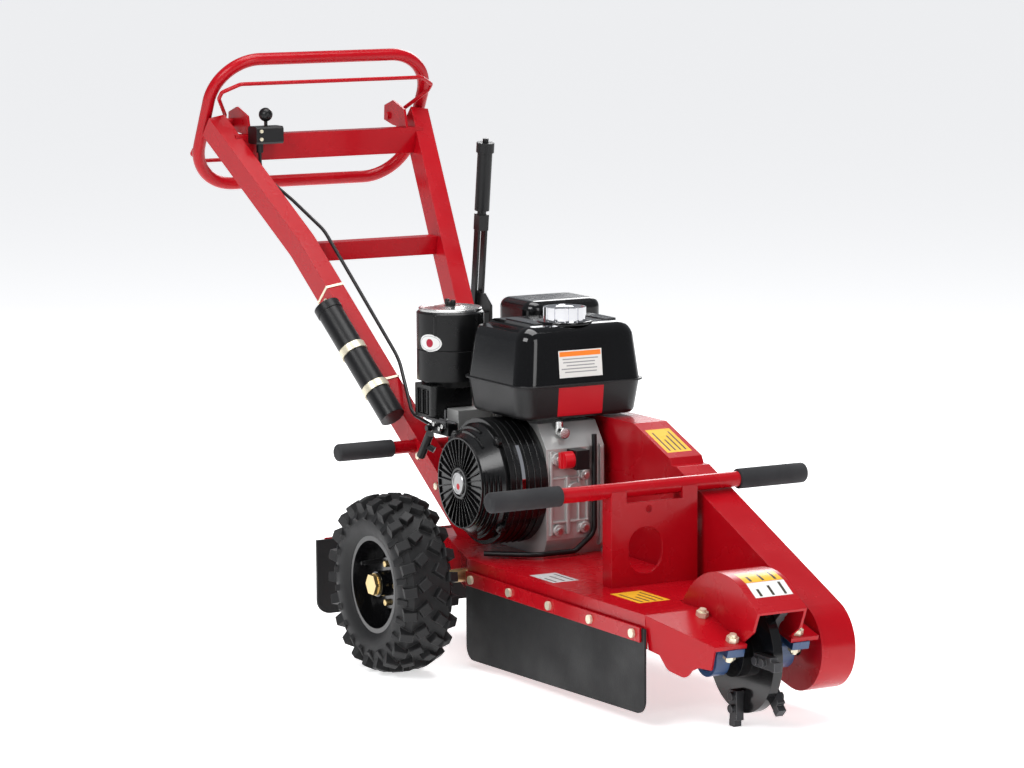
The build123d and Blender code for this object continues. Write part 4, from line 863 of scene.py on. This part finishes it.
# Each boss: y, z and radius.
bosses = ((-0.016, 0.384, 0.012), (0.043, 0.350, 0.010), (-0.014, 0.250, 0.011),
          (0.042, 0.252, 0.011), (0.022, 0.322, 0.017))
castings = []
for y0, y1, z0, z1, out in ((-0.030, -0.024, 0.240, 0.398, 0.005),
                            (0.004, 0.012, 0.242, 0.350, 0.006),
                            (0.030, 0.035, 0.242, 0.360, 0.004),
                            (0.048, 0.053, 0.242, 0.398, 0.004),
                            (-0.028, 0.052, 0.262, 0.267, 0.005),
                            (-0.028, 0.052, 0.344, 0.349, 0.004),
                            (0.012, 0.052, 0.300, 0.304, 0.0035)):
    rib = block("rib", (front - 0.004, y0, z0), (front + out, y1, z1))
    choose_edges(rib, lambda a, b: a.x > front + 0.001 and b.x > front + 0.001)
    bpy.ops.mesh.bevel(offset=0.0018, segments=3, affect="EDGES")
    lay_down()
    castings.append(rib)
for y, z, radius in bosses:
    boss = drum("boss", (front + 0.003, y, z), radius, 0.012, sides=32, along="X")
    choose_edges(boss, lambda a, b: a.x > front + 0.005 and b.x > front + 0.005)
    bpy.ops.mesh.bevel(offset=0.002, segments=3, affect="EDGES")
    lay_down()
    castings.append(boss)
lip = block("lip", (case_low.x + 0.02, 0.0765, 0.214), (front + 0.006, 0.0835, 0.405))
choose_edges(lip, lambda a, b: abs(a.y - b.y) > 0.001)
bpy.ops.mesh.bevel(offset=0.008, segments=4, affect="EDGES")
lay_down()
castings.append(lip)
castings = weld_together("case_ribs", castings)
dress(castings, "root", cast_aluminium)
heads = []
for y, z, _ in bosses:
    head = drum("head", (front + 0.011, y, z), 0.0062, 0.006, sides=6, along="X")
    choose_faces(head, lambda centre, normal: normal.x > 0.9)
    bpy.ops.mesh.inset(thickness=0.0012, depth=0.0006)
    lay_down()
    heads.append(head)
tap = drum("tap", (front - 0.022, 0.004, 0.4335), 0.0085, 0.034, sides=24, along="Z")
choose_edges(tap, lambda a, b: abs(a.z - b.z) < 0.0001)
bpy.ops.mesh.bevel(offset=0.0015, segments=2, affect="EDGES")
lay_down()
knob = drum("tap_knob", (front - 0.006, 0.004, 0.430), 0.0105, 0.012, sides=16, along="X")
choose_faces(knob, lambda centre, normal: normal.x > 0.9)
bpy.ops.mesh.inset(thickness=0.002, depth=0.001)
lay_down()
heads = weld_together("case_bolts", heads + [tap, knob])
dress(heads, "root", bright_steel)

# ---- Engine switch knob ----
# A small knob moulded in bright red plastic, which turns in the switch box on the engine. Its
# shape is the CAD's and only its finish is made here.
red_plastic = finish_of("red_plastic", (0.55, 0.004, 0.012), 0.3, depth=0.05, shine=0.4,
                        worn=(0.6, 0.1, 0.1))
recoat(red_plastic, "switch_knob")

# ---- Warning and data labels ----
# Thin printed vinyl stuck to the painted deck, housing and guard: yellow panels and a white one
# with dark bars in place of words, and one silver rating plate.
labelled_red = finish_of("labelled_red", powder_red, 0.26, depth=0.05, coat=0.08, shine=0.22,
                         worn=rubbed_red)
yellow, white = (0.80, 0.44, 0.03), (0.72, 0.72, 0.70)
dark_ink, silver = (0.05, 0.04, 0.03), (0.52, 0.52, 0.52)


def print_label(middle, half, paper, bars):
    """A printed panel with rows of dark bars of uneven length, which run along x."""
    tree = labelled_red.node_tree
    lay_decal(labelled_red, decal_mask(tree, middle, half), paper)
    for row in range(bars):
        across = half[1] * (0.66 - 1.3 * row / max(1, bars - 1))
        short = half[0] * (0.80 - 0.16 * (row % 3))
        place = Vector(middle) + Vector((half[0] * 0.86 - short, across, 0))
        bar = decal_mask(tree, place, (short, half[1] * 0.07, half[2]))
        lay_decal(labelled_red, bar, dark_ink)


print_label((axle_x + 0.510, -0.086, 0.200), (0.050, 0.032, 0.002), yellow, 4)
print_label((axle_x + 0.275, -0.124, 0.200), (0.043, 0.027, 0.002), silver, 3)
print_label((axle_x + 0.238, 0.140, 0.425), (0.040, 0.026, 0.030), yellow, 4)
print_label((axle_x + 0.752, 0.004, 0.262), (0.018, 0.038, 0.020), yellow, 3)
print_label((axle_x + 0.787, 0.004, 0.250), (0.016, 0.038, 0.020), white, 3)
recoat(labelled_red, "deck_plate", "cutter_housing", "belt_guard")

# ---- Handle and control details ----
# Zinc-plated hexagon bolts on the outer faces of the two handle tubes, and the two round-headed
# screws of the throttle's clamp.
tube_foot_x, tube_foot_y = -0.180, 0.044
tube_bend_x, tube_bend_y = -0.657, 0.159
bits = []
for bx, bz in ((-0.250, 0.290), (-0.300, 0.343), (-0.560, 0.619)):
    for way in (-1, 1):
        share = (bx - tube_foot_x) / (tube_bend_x - tube_foot_x)
        tube_y = tube_foot_y + share * (tube_bend_y - tube_foot_y)
        head = drum("tube_bolt", (axle_x + bx, way * (tube_y + 0.0205), bz), 0.0075, 0.005,
                    sides=6)
        choose_faces(head, lambda centre, normal: normal.y * way > 0.9)
        bpy.ops.mesh.inset(thickness=0.0015, depth=0.0008)
        lay_down()
        bits.append(head)
box_low, box_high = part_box("throttle_box")
for dz in (0.010, 0.026):
    head = drum("clamp_screw", (box_high.x + 0.001, box_low.y + 0.010, box_low.z + 0.018 + dz),
                0.0036, 0.004, sides=16, along="X")
    choose_faces(head, lambda centre, normal: normal.x > 0.9)
    bpy.ops.mesh.inset(thickness=0.0012, depth=0)
    bpy.ops.mesh.inset(thickness=0.0004, depth=-0.0008)
    lay_down()
    bits.append(head)
bits = weld_together("handle_bolts", bits)
dress(bits, "root", pale_zinc)
